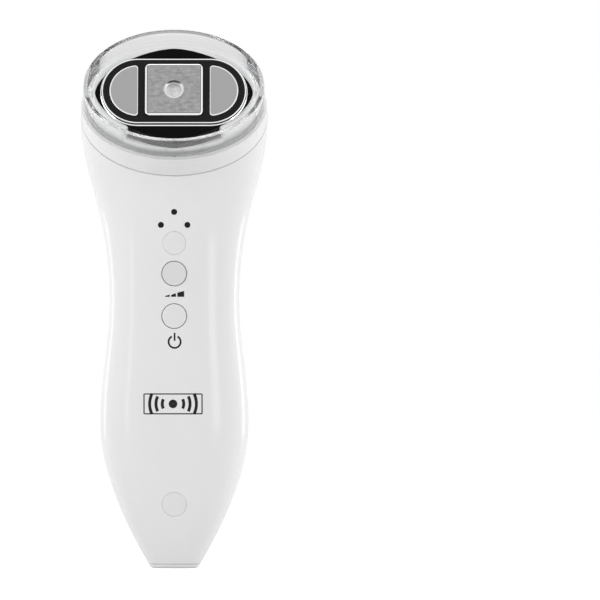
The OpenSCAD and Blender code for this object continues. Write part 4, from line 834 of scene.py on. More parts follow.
def satin_steel(colour, d):
    """Satin electrodes: even fine grain and almost no mottle, with a polished edge all round, whose
    bright colour is a painted highlight.
    """
    f = Finish("satin_electrode", Metallic=1.0)
    grain = f.noise(5200, 2, rough=0.7)
    x, y, _ = f.on_face()
    x, y = abs(x) - d.electrode_place, abs(y)
    r, c = d.electrode_radius, d.electrode_corner
    high = math.sqrt((r - c) ** 2 - c ** 2)
    # The polished edge round each electrode, along its arc, its flat side and its corners. Its
    # lower roughness is real, and its bright colour is a painted highlight.
    bow = ((x * x + y * y) ** 0.5).clip(r - 0.5, r - 0.36)
    turn = (((x - c) * (x - c) + (y - high) * (y - high)) ** 0.5).clip(c - 0.48, c - 0.34)
    turn = turn * (1 - x.clip(c - 0.01, c + 0.01)) * y.clip(high - 0.01, high + 0.01)
    edge = bow | (1 - x.clip(0.2, 0.3)) | turn
    even = grain.clip(0.25, 0.75).tint(shade(colour, 0.93), shade(colour, 1.03))
    return f.feed(Base_Color=edge.tint(even, shade(colour, 2.2)),
                  Roughness=0.12 + (1 - edge) * (0.24 + grain * 0.1)).bump(
        grain * (1 - edge), 0.003).material


def dark_lens():
    """Dark tinted light pipes with a polished face."""
    f = Finish("dark_lens", IOR=1.5, Specular_IOR_Level=0.15)
    depth = f.noise(900, 2)
    return f.feed(Base_Color=depth.tint((0.003, 0.003, 0.0035), (0.012, 0.012, 0.014)),
                  Roughness=0.06 + depth * 0.06).bump(depth, 0.002).material


def print_ink(colour):
    """Pad-printed ink: semi-matt, with a slightly uneven film."""
    return grained("print_ink", colour, shade(colour, 2.2), (2400, 3), (0.35, 0.75), (0.36, 0.16),
                   0.004, IOR=1.48, Specular_IOR_Level=0.12)


def inner_plastic(name, colour, grain=1.0):
    """Matt moulded plastic with a spark-eroded grain and a flow tone."""
    f = Finish(name, IOR=1.5)
    fine, flow = f.noise(2600 * grain, 2), f.noise(90, 3, (1, 1, 0.4))
    return f.feed(Base_Color=flow.clip(0.3, 0.7).tint(shade(colour, 0.9), shade(colour, 1.08)),
                  Roughness=0.42 + fine * 0.2).bump(fine, 0.01).material


def inner_metal(name, colour, roughness=0.3):
    """Drawn or plated metal with lines along Z and darker spots."""
    f = Finish(name, Metallic=1.0)
    lines, spots = f.noise(2200, 3, (1, 1, 0.08)), f.noise(700, 3).clip(0.6, 0.8)
    return f.feed(Base_Color=spots.tint(colour, shade(colour, 0.75)),
                  Roughness=roughness + lines * 0.15 + spots * 0.1).bump(lines, 0.005).material


def circuit_board(name, colour):
    """Solder resist over copper: traces and pads stand out a little lighter."""
    f = Finish(name, IOR=1.5)
    cells = f.wire.add("ShaderNodeTexBrick", {"offset": 0.5}, {
        "Vector": f.place, "Scale": 190.0, "Mortar Size": 0.016, "Mortar Smooth": 0.4}, output=1)
    cloth = f.noise(1400, 1)
    return f.feed(Base_Color=(cells * 0.8 + cloth * 0.2).tint(colour, shade(colour, 1.7)),
                  Roughness=0.28 + cloth * 0.12).bump(cells, 0.02).material


def wound_copper(name, colour):
    """Turns of enamelled wire or tape: fine ribs with a tone that varies from turn to turn."""
    f = Finish(name, Metallic=0.35, IOR=1.5)
    turns = f.wire.add("ShaderNodeTexWave", {"bands_direction": "X", "wave_profile": "SIN"}, {
        "Vector": f.place, "Scale": 700.0, "Distortion": 0.6, "Detail": 1.0})
    tone = f.noise(800, 2)
    look = (turns * 0.6 + tone * 0.4).tint(shade(colour, 0.6), shade(colour, 1.15))
    return f.feed(Base_Color=look, Roughness=0.34 + tone * 0.15).bump(turns, 0.08).material


def sleeve(name, colour):
    """Shrink sleeve or wire insulation: satin, with small creases."""
    return grained(name, shade(colour, 0.85), shade(colour, 1.12), (500, 3, (1, 1, 0.3)),
                   (0.3, 0.7), (0.32, 0.2), 0.02, IOR=1.5)


def clear_resin(name, colour):
    """The lamps: warm clear resin over a pale body."""
    return grained(name, shade(colour, 0.85), colour, (1600, 2), (0.35, 0.65), (0.12, 0.1), 0.004,
                   IOR=1.52)


def ceramic(name, colour):
    """Fired ceramic with a fine speckle."""
    return grained(name, shade(colour, 0.82), colour, (3000, 2), (0.4, 0.75), (0.5, 0.2), 0.01,
                   IOR=1.6)


# The handle's pieces

# Places of the screw posts as x and height, and heights of the snap hooks, in millimetres.
BOARD_POSTS = [(x, z) for x in (-11.2, 11.2) for z in (88.5, 115.2)]
JACK_BOARD_POSTS = [(x, 29.4) for x in (-4.6, 4.6)]
HOLDER_POSTS = [(x, z) for x in (-3.0, 3.0) for z in (43.0, 70.0)]
HOOK_HEIGHTS = (28.0, 66.0, 96.0)


def lens_places(c):
    """Places of the three level lenses as x and height."""
    return (0, c.lens_top), (-c.lens_apart, c.lens_low), (c.lens_apart, c.lens_low)


def tube(inner, outer, z, y0, y1):
    """A plain ring along Y between two radii, from y0 to y1, as one closed grid."""
    return spun(np.array([[inner, y0], [outer, y0], [outer, y1], [inner, y1]]), (0, 0, z),
                closed=True, steps=96)


def post(x, z, y0, y1, radius, bore, deep, bevel=0.2):
    """A screw post along Y from y0 to y1, with a bevel and a blind bore at its end."""
    way = math.copysign(1, y1 - y0)
    return spun(np.array([[0, y0], [radius, y0], [radius, y1 - bevel * way], [radius - bevel, y1],
                          [bore, y1], [bore, y1 - deep * way], [0, y1 - deep * way]]), (x, 0, z),
                steps=40)


def block(low, high):
    """A box between two corners: its outline at both heights, and the middles of both ends."""
    (x0, y0, z0), (x1, y1, z1) = low, high
    rows = [[(x0, y0, z), (x1, y0, z), (x1, y1, z), (x0, y1, z), (x0, y0, z)] for z in (z0, z1)]
    poles = [[((x0 + x1) / 2, (y0 + y1) / 2, z)] * 5 for z in (z0, z1)]
    return np.array([poles[0], *rows, poles[1]])


def hook(hand, side, seam, z):
    """A snap hook at a side wall: a foot in front of the seam and a tongue that reaches past it."""
    foot = sorted((hand * (side - 1.4), hand * (side + 1.0)))
    tongue = sorted((hand * (side - 1.4), hand * (side - 0.05)))
    return [block((foot[0], seam - 4.0, z - 2), (foot[1], seam - 1.4, z + 2)),
            block((tongue[0], seam - 3.9, z - 1.9), (tongue[1], seam + 3.4, z + 1.9))]


class DEVICE_OT_front_shell(bpy.types.Operator):
    """Front half of the handle with its holes, landings, screw posts and snap hooks"""
    bl_idname = "device.front_shell"
    bl_label = "Front Shell"
    bl_options = {"REGISTER", "UNDO"}

    def execute(self, context):
        handle = Handle()
        h, c = handle.size, handle.control
        # The rows lie closer together at the lenses and at both buttons.
        shell = HalfShell(handle, -1, step=0.72,
                          fine=((115.5, 127, 0.5), (96, 109, 0.85), (81, 94, 0.85)))
        button, mode = c.button / 2 + c.button_gap, c.mode_window / 2 + c.window_gap
        for z in (c.level_height, c.power_height):
            shell.hole(0, z, button, reach_x=0.9, reach_z=0.43)
        shell.hole(0, c.mode_height, mode, reach_x=0.9, reach_z=0.3)
        shell.hole(0, c.charge_height, c.charge_window / 2 + c.window_gap, reach_x=1.2,
                   reach_z=1.2, lean=handle.lean(c.charge_height))
        for x, z in lens_places(c):
            shell.hole(x, z, c.lens / 2 + c.window_gap, reach_x=0.9, reach_z=0.25)
        inside = [tube(r + 0.05, r + 1.85, z, handle.front_y(0, z) + 1.5, -c.landing)
                  for z, r in ((c.level_height, button), (c.power_height, button),
                               (c.mode_height, mode))]
        for places, seat, radius, deep in (
                (BOARD_POSTS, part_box("main_board")[0].y / MM, 2.5, 4.4),
                (JACK_BOARD_POSTS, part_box("charging_board")[0].y / MM, 2.1, 4.0)):
            inside += [post(x, z, handle.front_y(x, z) + 1.3, seat, radius, bore=1.0, deep=deep)
                       for x, z in places]
        for z in HOOK_HEIGHTS:
            s = z / h.belly_height
            seam = float(handle.rail(-1, s)[0] + handle.rail(1, s)[0]) / 2 if s < 1 else 0.0
            side = float(handle.half_width(np.array(z))) - h.wall - 1.0
            inside += hook(-1, side, seam, z) + hook(1, side, seam, z)
        build("front_shell_moulding", shell.all_grids() + inside,
              gloss_white("gloss_white_front", colour_of("shell")), "white_shell", "front_shell")
        return {"FINISHED"}


# Height of the point from which the rings of the drop recess spread.
DROP_POLE = 24.0


def drop_sheet(handle, sheet, window, y_of):
    """The drop recess as rings round a pole: they follow its outline inside, so its crease is
    exact, and blend to the window's frame outside. The outline is found by halving a range."""
    loop = frame_loop(sheet, window)
    t = np.arctan2(loop[:, 2] - DROP_POLE, loop[:, 0])
    low, high = np.zeros_like(t), np.full_like(t, 60.0)
    for _ in range(32):
        mid = (low + high) / 2
        inside = abs(mid * np.cos(t)) < handle.drop_half(DROP_POLE + mid * np.sin(t))
        low, high = np.where(inside, mid, low), np.where(inside, high, mid)
    share = np.r_[0, np.linspace(0.03, 0.93, 24), 0.965, 0.985, 1.0][:, None]
    x, z = low * np.cos(t), DROP_POLE + low * np.sin(t)
    blend = np.array([0.02, 0.08, 0.25, 0.55, 1.0])[:, None]
    gx = np.concatenate([x * share, x * (1 - blend) + loop[:, 0] * blend])
    gz = np.concatenate([DROP_POLE + (z - DROP_POLE) * share, z * (1 - blend) + loop[:, 2] * blend])
    rings = np.stack([gx, y_of(gx, gz), gz], -1)
    rings[-1] = loop
    return rings


def drop_window(rings, x, z, reach):
    """Rings and spokes of the drop recess that frame a place, at the given reach round it."""
    spokes = np.unwrap(np.arctan2(rings[-1, :, 2] - DROP_POLE, rings[-1, :, 0]))
    away, way = math.hypot(x, z - DROP_POLE), math.atan2(z - DROP_POLE, x)
    way += 2 * math.pi * round((spokes.mean() - way) / (2 * math.pi))
    spoke = int(np.argmin(abs(spokes - way)))
    run = np.hypot(rings[:, spoke, 0], rings[:, spoke, 2] - DROP_POLE)
    spread = math.asin(reach / away) * 1.12
    return (int(np.sum(run < away - reach)) - 1, int(np.sum(run < away + reach)),
            int(np.argmin(abs(spokes - way + spread))), int(np.argmin(abs(spokes - way - spread))))


class DEVICE_OT_rear_shell(bpy.types.Operator):
    """Back half of the handle with the thumb dimple, the drop recess and three sound holes"""
    bl_idname = "device.rear_shell"
    bl_label = "Rear Shell"
    bl_options = {"REGISTER", "UNDO"}

    def execute(self, context):
        handle = Handle()
        h, c = handle.size, handle.control
        # The rows lie closer together round the thumb dimple.
        shell = HalfShell(handle, 1, step=0.74, fine=((82, 109, 0.8),), columns=128)
        window = window_of(shell.outer, 0, (c.drop_top + c.drop_low) / 2, c.drop_width / 2 + 1.3,
                           (c.drop_top - c.drop_low) / 2 + 1.4)
        a, b, p, q = window
        shell.keep[a:b, p:q] = False
        outer = drop_sheet(handle, shell.outer, window, shell.outer_y)
        inner = drop_sheet(handle, shell.inner, window, shell.inner_y)
        keep = np.ones((outer.shape[0] - 1, outer.shape[1] - 1), bool)
        radius, grids = c.sound_hole / 2, []
        for x, z in ((0, c.sound_top), (-c.sound_apart, c.sound_low), (c.sound_apart, c.sound_low)):
            window = drop_window(outer, x, z, radius + h.edge + 0.3)
            a, b, p, q = window
            keep[a:b, p:q] = False
            grids += shell.pierced(outer, inner, window, x, z, radius)
        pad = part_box("battery_holder")[1].y / MM
        pin = [[0, pad + 0.4], [1.2, pad + 0.4], [1.2, pad - 1.2], [1.0, pad - 1.4], [0, pad - 1.4]]
        for x, z in HOLDER_POSTS:
            grids += [post(x, z, float(handle.depth(1, x, z)) - 1.3, pad, radius=2.5, bore=1.2,
                           deep=0.05), spun(pin, (x, 0, z), steps=32)]
        build("rear_shell_moulding", shell.all_grids() + [(outer, keep), (inner, keep)] + grids,
              gloss_white("gloss_white_rear", colour_of("shell")), "white_shell", "rear_shell")
        return {"FINISHED"}


class DEVICE_OT_end_cap(bpy.types.Operator):
    """Small flat end with the charging mouth, and the two cheeks that hold the jack"""
    bl_idname = "device.end_cap"
    bl_label = "End Cap"
    bl_options = {"REGISTER", "UNDO"}

    def execute(self, context):
        handle = Handle()
        h = handle.size
        middle, _, deep, wide, _ = handle.section(
            -1, np.array((h.cap_height + h.seam_gap) / h.belly_height))
        wide, deep, y = float(wide), float(deep) + h.seam_gap / 2, float(middle[0])
        top, high, plug, bore = h.cap_height, h.cap_height + 1.2, h.wall + 0.2, h.socket / 2
        t = np.radians(np.arange(0, 91, 15))
        back, z = h.cap_edge * (1 - np.sin(t)), h.cap_edge * (1 - np.cos(t))
        low = np.stack([wide - back - h.side_flare * (top - z),
                        deep - back - h.depth_flare * (top - z), z, y + 0 * z], -1)
        # Half width, half depth, height and middle: from the mouth's chamfer over the rounded lower
        # edge and the flared side to the plug in the handle, and down inside the mouth.
        path = [(bore, bore, 0.3, 0), (bore + 0.08, bore + 0.08, 0.08, 0),
                (bore + 0.3, bore + 0.3, 0, 0), *low,
                (wide - 0.02, deep - 0.02, top - 0.06, y), (wide - 0.08, deep - 0.08, top, y),
                (wide - plug, deep - plug, top, y), (wide - plug, deep - plug, high - 0.15, y),
                (wide - plug - 0.15, deep - plug - 0.15, high, y),
                (bore + 0.3, bore + 0.3, high, 0), (bore + 0.3, bore + 0.3, top, 0),
                (bore, bore, top, 0)]
        body = oval_sweep(np.array(path)[:, :3], steps=160)
        body[..., 1] += np.array(path + path[:1])[:, 3:]
        cheeks = [block((x, -3, high - 0.3), (x + 1.2, 3, high + 2.8)) for x in (4.6, -5.8)]
        build("end_cap_moulding", [body] + cheeks,
              gloss_white("gloss_white_end", colour_of("shell")), "white_shell", "end_cap")
        return {"FINISHED"}


# The head's pieces

# Places of the black floor's screw posts, across the face and up its plane, in millimetres.
FLOOR_POSTS = [(x, y) for x in (-16.0, 16.0) for y in (-6.2, 6.2)]


def spun_out(path, x=0.0, y=0.0, steps=64):
    """A path of radius and height turned round a line out of the face, at a place on it."""
    return spun(np.array(path), (x, y, 0), axis=(0, 0, 1), up=(0, 1, 0), steps=steps)


class DEVICE_OT_collar(bpy.types.Operator):
    """White collar between the handle and the clear ring, with its ledge and spigot"""
    bl_idname = "device.collar"
    bl_label = "Collar"
    bl_options = {"REGISTER", "UNDO"}

    def execute(self, context):
        handle, d = Handle(), head_sizes()
        foot, edge = (d.foot_side, d.foot_front), (d.collar_side, d.collar_front)
        wall, ledge = d.collar_wall, d.collar_wall + 5.0
        # Points inside the foot's or the upper edge's oval, each with its height and the radius of
        # its corner: up the outside, down to the ledge, in under it and down the spigot.
        path = [((sides[0] - inset, sides[1] - inset, z), radius) for sides, inset, z, radius in (
            (foot, 0.15, d.collar_gap, 0.25), (edge, 0, d.collar_height, 0.22),
            (edge, wall, d.collar_height, 0.15), (edge, wall, 6.0, 0.1), (edge, ledge, 6.0, 0.2),
            (edge, ledge, 3.5, 0.2), (foot, 3.8, 3.5, 0.1), (foot, 3.8, -3.0, 0.2),
            (foot, 2.4, -3.0, 0.2), (foot, 2.4, d.collar_gap, 0.02))]
        build("head_collar_moulding", [handle.seat(oval_sweep(rounded(*zip(*path))))],
              gloss_white("gloss_white_collar", colour_of("shell")), "white_shell", "head_collar")
        return {"FINISHED"}


class DEVICE_OT_clear_ring(bpy.types.Operator):
    """Clear acrylic ring: thick at the floor and thin at its rounded rim"""
    bl_idname = "device.clear_ring"
    bl_label = "Clear Ring"
    bl_options = {"REGISTER", "UNDO"}

    def execute(self, context):
        handle, d = Handle(), head_sizes()
        low, top = d.collar_height + SEAT_GAP, d.rim_height
        floor = d.floor_side + 0.2, d.floor_front + 0.2
        # Up the outside, over the rim, down to the black floor and down beside its skirt.
        path = [(d.ring_side, d.ring_front, low), (d.rim_side, d.rim_front, top),
                (d.rim_side - d.rim_wall, d.rim_front - d.rim_wall, top),
                (*floor, d.floor_height + SEAT_GAP), (*floor, low)]
        build("clear_ring_moulding",
              [handle.seat(oval_sweep(rounded(path, [0.3, 0.5, 0.5, 0.35, 0.3]), steps=320))],
              clear_acrylic(d), "clear_ring", "light_ring")
        return {"FINISHED"}


# Angles of the points round the floor and the diffuser.
ROUND = np.linspace(0, 2 * np.pi, 289)


def narrowing(t, power=1.65, back=0.038, sides=0.03):
    """How much narrower than the ellipse the floor's outline is at each angle: a superellipse that
    is a little flatter at its back and narrower at its sides."""
    return ((abs(np.cos(t)) ** power + abs(np.sin(t)) ** power) ** (-1 / power)
            * (1 - back * np.maximum(np.sin(t), 0) ** 2 - sides * np.cos(t) ** 2))


def aside(t, side, reach=16.8, step=0.4):
    """0 in front of the face between plus and minus reach, and 1 elsewhere, with a short step."""
    return np.where(np.sin(t) > 0, 1.0, np.clip((abs(side * np.cos(t)) - reach) / step, 0, 1))


def ovals(d, rows):
    """Ovals as rows of a grid. A row gives its share of the floor's ellipse, how far it lies inside
    that, its height, and its narrowing, each one value or one for every angle."""
    return np.array([np.stack([(d.floor_side * share - inset) * narrow * np.cos(ROUND),
                               (d.floor_front * share - inset) * narrow * np.sin(ROUND),
                               z + 0 * ROUND], -1) for share, inset, z, narrow in rows])


class DEVICE_OT_diffuser(bpy.types.Operator):
    """Frosted ring on the light board, seen through the clear ring"""
    bl_idname = "device.diffuser"
    bl_label = "Diffuser"
    bl_options = {"REGISTER", "UNDO"}

    def execute(self, context):
        handle, d = Handle(), head_sizes()
        top, low, x, wall = d.floor_height, d.board_top + SEAT_GAP, d.floor_side, d.skirt_wall
        free, narrow = aside(ROUND, x), narrowing(ROUND)
        # It ends under the skirt in front, and elsewhere under the floor's thin flange, or beside
        # that flange where the floor is narrower.
        swell = np.clip((0.985 - narrow) / 0.015, 0, 1)
        high = (top - d.skirt - SEAT_GAP) * (1 - free) + (top - 0.37 + 0.33 * swell) * free
        lip = (1 - wall / x) * (1 - free) + (0.98 * (1 - swell) + (narrow + 0.002) * swell) * free
        ring = ovals(d, [
            (1, 0, low, 1), (1, 0, high - 0.15, 1), (1, 0.15, high, 1), (lip, -0.1, high, 1),
            (lip, 0, high - 0.1, 1), (1, wall, np.minimum(high - 0.12, top - 0.5), 1),
            (1, wall, low, 1), (1, 0, low, 1)])
        build("diffuser_ring", [handle.seat(ring)], frosted_white(), "diffuser_white",
              "light_diffuser")
        return {"FINISHED"}


class DEVICE_OT_black_floor(bpy.types.Operator):
    """Polished black floor with its skirt and four screw posts"""
    bl_idname = "device.black_floor"
    bl_label = "Black Floor"
    bl_options = {"REGISTER", "UNDO"}

    def execute(self, context):
        handle, d = Handle(), head_sizes()
        top, wall = d.floor_height, d.skirt_wall
        deep = d.skirt - (d.skirt - 0.35) * aside(ROUND, d.floor_side)
        # From the middle of the top over the rounded edge and down the skirt to the underside.
        disc = ovals(d, [(share, inset, top - z, narrowing(ROUND)) for share, inset, z in (
            (0, 0, 0), (0.9, 0, 0), (1, 0.15, 0), (1, 0.04, 0.04), (1, 0, 0.14), (1, 0, deep),
            (1, wall, deep), (1, wall, np.maximum(deep, 0.4)), (1, wall, d.floor_thick),
            (0, 0, d.floor_thick))])
        screw_post = [[0, top - 1], [2.3, top - 1], [2.3, 8.2], [2.1, 8.0], [1.0, 8.0], [1.0, 10.5],
                      [0, 10.5]]
        grids = [disc] + [spun_out(screw_post, x, y, 40) for x, y in FLOOR_POSTS]
        build("black_floor_moulding", [handle.seat(g) for g in grids],
              gloss_black(colour_of("floor")), "head_black", "head_floor")
        return {"FINISHED"}


def slot_outline(size, inset):
    """Two half circles joined by straight sides, moved inwards by inset."""
    half, r = (size.carrier_length - size.carrier_width) / 2, size.carrier_width / 2 - inset
    t = np.linspace(-np.pi / 2, np.pi / 2, 73)
    right = np.stack([half + r * np.cos(t), r * np.sin(t)], -1)
    left = np.stack([-half - r * np.cos(t), -r * np.sin(t)], -1)
    return np.concatenate([right, left, right[:1]])


def round_cornered(core, radius, arc_points, side_points):
    """The outline of a rectangle with quarter circles about the corners of its core, which is given
    by its half width and half height."""
    t = np.linspace(0, np.pi / 2, arc_points)
    turn = np.arange(4)[:, None] * np.pi / 2
    half = turn + np.pi / 4
    way = np.round(np.stack([np.cos(half), np.sin(half)], -1) * math.sqrt(2))
    arcs = way * core + radius * np.stack([np.cos(turn + t), np.sin(turn + t)], -1)
    u = np.linspace(0, 1, side_points)[1:-1, None]
    sides = [np.concatenate([arcs[i], arcs[i][-1] * (1 - u) + arcs[(i + 1) % 4][0] * u])
             for i in range(4)]
    return np.concatenate(sides + [arcs[0][:1]])


def square_outline(size, inset):
    """A square with quarter circles at its corners, moved inwards by inset."""
    corner = max(size.plate_corner - inset * 0.5, 0.2)
    return round_cornered(size.plate_side / 2 - inset - corner, corner, 9, 9)


def electrode_outline(size, inset):
    """A half circle with its flat edge towards the middle and its two corners rounded."""
    r, c = size.electrode_radius, size.electrode_corner
    y = math.sqrt((r - c) ** 2 - c ** 2)
    a, k = math.atan2(y, c), max(c - inset, 0.05)
    t, u = np.linspace(-a, a, 97), np.linspace(a, np.pi, 13)[1:]
    arc = np.stack([(r - inset) * np.cos(t), (r - inset) * np.sin(t)], -1)
    top = np.stack([c + k * np.cos(u), y + k * np.sin(u)], -1)
    flat = np.stack([np.full(9, c - k), np.linspace(y, -y, 11)[1:-1]], -1)
    low = np.stack([top[::-1, 0], -top[::-1, 1]], -1)
    return np.concatenate([arc, top, flat, low, arc[:1]]) + np.array([size.electrode_place, 0])


def outline_rows(outline, size, path):
    """An outline at the insets and heights of a path, as rows of a grid."""
    return np.array([np.column_stack([line, np.full(len(line), z)])
                     for inset, z in path for line in [outline(size, inset)]])


class DEVICE_OT_carrier(bpy.types.Operator):
    """Satin black carrier with its bright trim"""
    bl_idname = "device.carrier"
    bl_label = "Carrier And Trim"
    bl_options = {"REGISTER", "UNDO"}

    def execute(self, context):
        handle, d = Handle(), head_sizes()
        floor, top, middle = d.floor_height, d.carrier_height, d.carrier_width / 2
        inset = d.trim + 0.36
        path = rounded([(middle, top), (inset, top), (inset, floor + 0.01), (middle, floor + 0.01)],
                       0.2, closed=False)
        stem = spun_out([[0, floor + 0.2], [9.4, floor + 0.2], [9.4, floor - 4], [0, floor - 4]])
        body = outline_rows(slot_outline, d, path)
        build("carrier_moulding", [handle.seat(body), handle.seat(stem)],
              satin_black(colour_of("carrier")), "carrier_black", "electrode_carrier")
        # The band's foot slopes out to the floor, and its rim is rounded.
        inner = inset - 0.01
        path = rounded([(0.02, floor + 0.01), (0.02, floor + 0.12), (0.5, floor + 0.5),
                        (0.5, top - 0.12), (inner, top - 0.12), (inner, floor + 0.01)],
                       [0.02, 0.03, 0.03, 0.2, 0.2, 0.02])
        band = outline_rows(slot_outline, d, np.concatenate([path, path[:1]]))
        build("carrier_trim_band", [handle.seat(band)],
              plated_trim(colour_of("trim"), floor + 0.34, top - 0.36), "bright_trim",
              "carrier_trim")
        return {"FINISHED"}


class DEVICE_OT_plate(bpy.types.Operator):
    """Square steel plate with a bevel and a round countersunk recess"""
    bl_idname = "device.plate"
    bl_label = "Ultrasonic Plate"
    bl_options = {"REGISTER", "UNDO"}

    def execute(self, context):
        handle, d = Handle(), head_sizes()
        under = d.carrier_height - 1.3
        top, b, r = d.carrier_height + d.plate_rise, d.plate_bevel, d.dish / 2
        low = top - d.bevel_drop
        # Up the side and over the bevel, in flat rings from the square to the circle, and then down
        # the turned steps of the recess to its middle.
        rows = [*outline_rows(square_outline, d, [
            (0.2, under), (0, under + 0.1), (0, low - 0.12), (0, low - 0.04), (0.04, low + 0.01),
            (b - 0.07, top - 0.03), (b, top - 0.005), (b + 0.06, top), (b + 0.16, top)])]
        square = rows[-1][:, :2]
        turn = np.arctan2(square[:, 1], square[:, 0])
        circle = np.stack([np.cos(turn), np.sin(turn)], -1)
        flats = [(square * (1 - share) + circle * (r + 0.3) * share, top)
                 for share in (0.25, 0.5, 0.75)]
        dish = [(circle * radius, top - deep) for radius, deep in (
            (r + 0.3, 0), (r + 0.12, 0), (r + 0.05, 0.02), (r, 0.08), (r - 0.1, 0.42),
            (r - 0.2, 0.52), (r - 0.62, 0.62), (r - 0.8, 0.66), (r * 0.5, d.dish_depth),
            (0, d.dish_depth))]
        rows += [np.column_stack([line, np.full(len(line), z)]) for line, z in flats + dish]
        pole = np.tile([0, 0, under], (len(square), 1))
        build("plate_machined", [handle.seat(np.array([pole, *rows]))],
              mottled_steel(colour_of("plate"), d), "mottled_steel", "ultrasonic_plate")
        return {"FINISHED"}


class DEVICE_OT_electrodes(bpy.types.Operator):
    """The two half-round electrodes with their contact pins"""
    bl_idname = "device.electrodes"
    bl_label = "Electrodes"
    bl_options = {"REGISTER", "UNDO"}

    def execute(self, context):
        handle, d = Handle(), head_sizes()
        top = d.carrier_height + d.electrode_rise
        rows = outline_rows(electrode_outline, d, rounded(
            [(0.9, top), (0, top), (0, top - 1), (0.9, top - 1)], 0.16, closed=False))
        middle = d.electrode_place + d.electrode_radius * 0.42
        poles = [np.tile([middle, 0, z], (len(rows[0]), 1)) for z in (top, top - 1)]
        half = np.array([poles[0], *rows, poles[1]])
        pin = spun_out([[0, top - 0.8], [1.2, top - 0.8], [1.2, top - 4.6], [1.0, top - 4.7],
                        [0, top - 4.7]], d.electrode_place + 4.5, 0, 40)
        finish = satin_steel(colour_of("electrode"), d)
        for hand, name in ((-1, "left_electrode"), (1, "right_electrode")):
            turn = np.array([hand, hand, 1])
            build(f"{name}_pressed", [handle.seat(half * turn), handle.seat(pin * turn)], finish,
                  "electrode_steel", name)
        return {"FINISHED"}


# Buttons, lights and print

class DEVICE_OT_buttons(bpy.types.Operator):
    """Level and power buttons: round caps with a flange and a stem behind the front"""
    bl_idname = "device.buttons"
    bl_label = "Push Buttons"
    bl_options = {"REGISTER", "UNDO"}

    def execute(self, context):
        handle = Handle()
        c, colour = handle.control, colour_of("button")
        r, land = c.button / 2, -c.landing
        flange, stem = r + 0.9, 2.2
        # Each button has its height, the rise of its crown and a tone on the button colour: the
        # level button's lower tone is a painted shade.
        for name, z, crown, tone in (("level_button", c.level_height, -0.16, 0.93),
                                     ("power_button", c.power_height, 0.1, 1.0)):
            top = handle.front_y(0, z) - c.button_proud
            sag = [(q, top + max(-crown, 0) * (1 - (q / r) ** 2) + max(crown, 0) * (q / r) ** 2)
                   for q in (0, 0.8, 1.6, 2.4, 3.0, 3.5, 3.75)]
            rim = rounded([sag[-1], (r, sag[-1][1] + 0.01), (r, land - 0.2)], 0.28, closed=False)
            path = np.concatenate([sag[:-1], rim, [
                (r, land + SEAT_GAP), (flange - 0.1, land + SEAT_GAP), (flange, land + 0.12),
                (flange, land + 0.85), (flange - 0.1, land + 0.95), (stem, land + 0.95),
                (stem, land + 1.84), (0, land + 1.84)]])
            build(f"{name}_cap", [spun(path, (0, 0, z), steps=96)],
                  gloss_white(f"gloss_white_{name}", shade(colour, tone), 0.16), "white_button",
                  name, body=name)
        return {"FINISHED"}


def flush(handle, grid, offset):
    """Lays the first rows of a plug on the front skin, each by its own depth under the face."""
    face = grid[:len(offset)]
    face[..., 1] = handle.depth(-1, face[..., 0], face[..., 2]) + np.array(offset)[:, None]
    return grid


class DEVICE_OT_lenses(bpy.types.Operator):
    """Three dark light pipes on one bridge, with domed faces in the front"""
    bl_idname = "device.lenses"
    bl_label = "Level Lenses"
    bl_options = {"REGISTER", "UNDO"}

    def execute(self, context):
        handle = Handle()
        c, r = handle.control, handle.control.lens / 2
        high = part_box("level_lenses")[1].y / MM
        bridge = handle.front_y(0, c.lens_low) + 3.1
        face = [(0, 0.02), (0.4, 0.03), (0.7, 0.06), (0.88, 0.12), (0.97, 0.22), (1.0, 0.36)]
        path = np.array([(q * r, 0) for q, _ in face] + [(r, high), (0, high)])
        boss = np.array([[0, bridge], [1.4, bridge], [1.5, bridge + 0.1], [1.5, bridge + 1.1],
                         [1.4, bridge + 1.2], [0, bridge + 1.2]])
        grids = []
        for x, z in lens_places(c):
            grids += [flush(handle, spun(path, (x, 0, z), steps=48), [v for _, v in face]),
                      spun(boss, (x, 0, z), steps=48)]
        rise, reach = c.lens_top - c.lens_low, math.hypot(c.lens_top - c.lens_low, c.lens_apart)
        bar = block((0, bridge + 0.05, -0.9), (reach, bridge + 1.15, 0.9))
        for hand in (-1, 1):
            cs, sn = hand * c.lens_apart / reach, -rise / reach
            grids.append(np.stack([bar[..., 0] * cs - bar[..., 2] * sn * hand, bar[..., 1],
                                   bar[..., 0] * sn + bar[..., 2] * cs * hand + c.lens_top], -1))
        build("level_lens_pipes", grids, dark_lens(), "dark_lens", "level_lenses")
        return {"FINISHED"}


class DEVICE_OT_windows(bpy.types.Operator):
    """The two round light windows, flush with the front"""
    bl_idname = "device.windows"
    bl_label = "Light Windows"
    bl_options = {"REGISTER", "UNDO"}

    def execute(self, context):
        handle = Handle()
        c, finish = handle.control, window_white(colour_of("window"))
        for name, z, size, lean in (("mode_window", c.mode_height, c.mode_window, 0.0),
                                    ("charge_window", c.charge_height, c.charge_window,
                                     handle.lean(c.charge_height))):
            y, r = handle.front_y(0, z), size / 2
            deep = handle.size.wall + 0.6 if lean else -c.landing - y
            face = [(0, 0), (0.3, 0), (0.6, 0), (0.85, 0), (0.96, 0), (0.975, 0.005), (0.99, 0.04),
                    (1.0, 0.12)]
            path = np.array([(q * r, v) for q, v in face] + [
                (r, deep + 0.07), (r + 0.9, deep + 0.07), (r + 0.9, deep + 0.93), (0, deep + 0.93)])
            grid = spun(path, (0, y, z), (0, math.cos(lean), math.sin(lean)),
                        (0, -math.sin(lean), math.cos(lean)), steps=96)
            build(f"{name}_disc", [flush(handle, grid, [v for _, v in face])], finish,
                  "light_window", name)
        return {"FINISHED"}


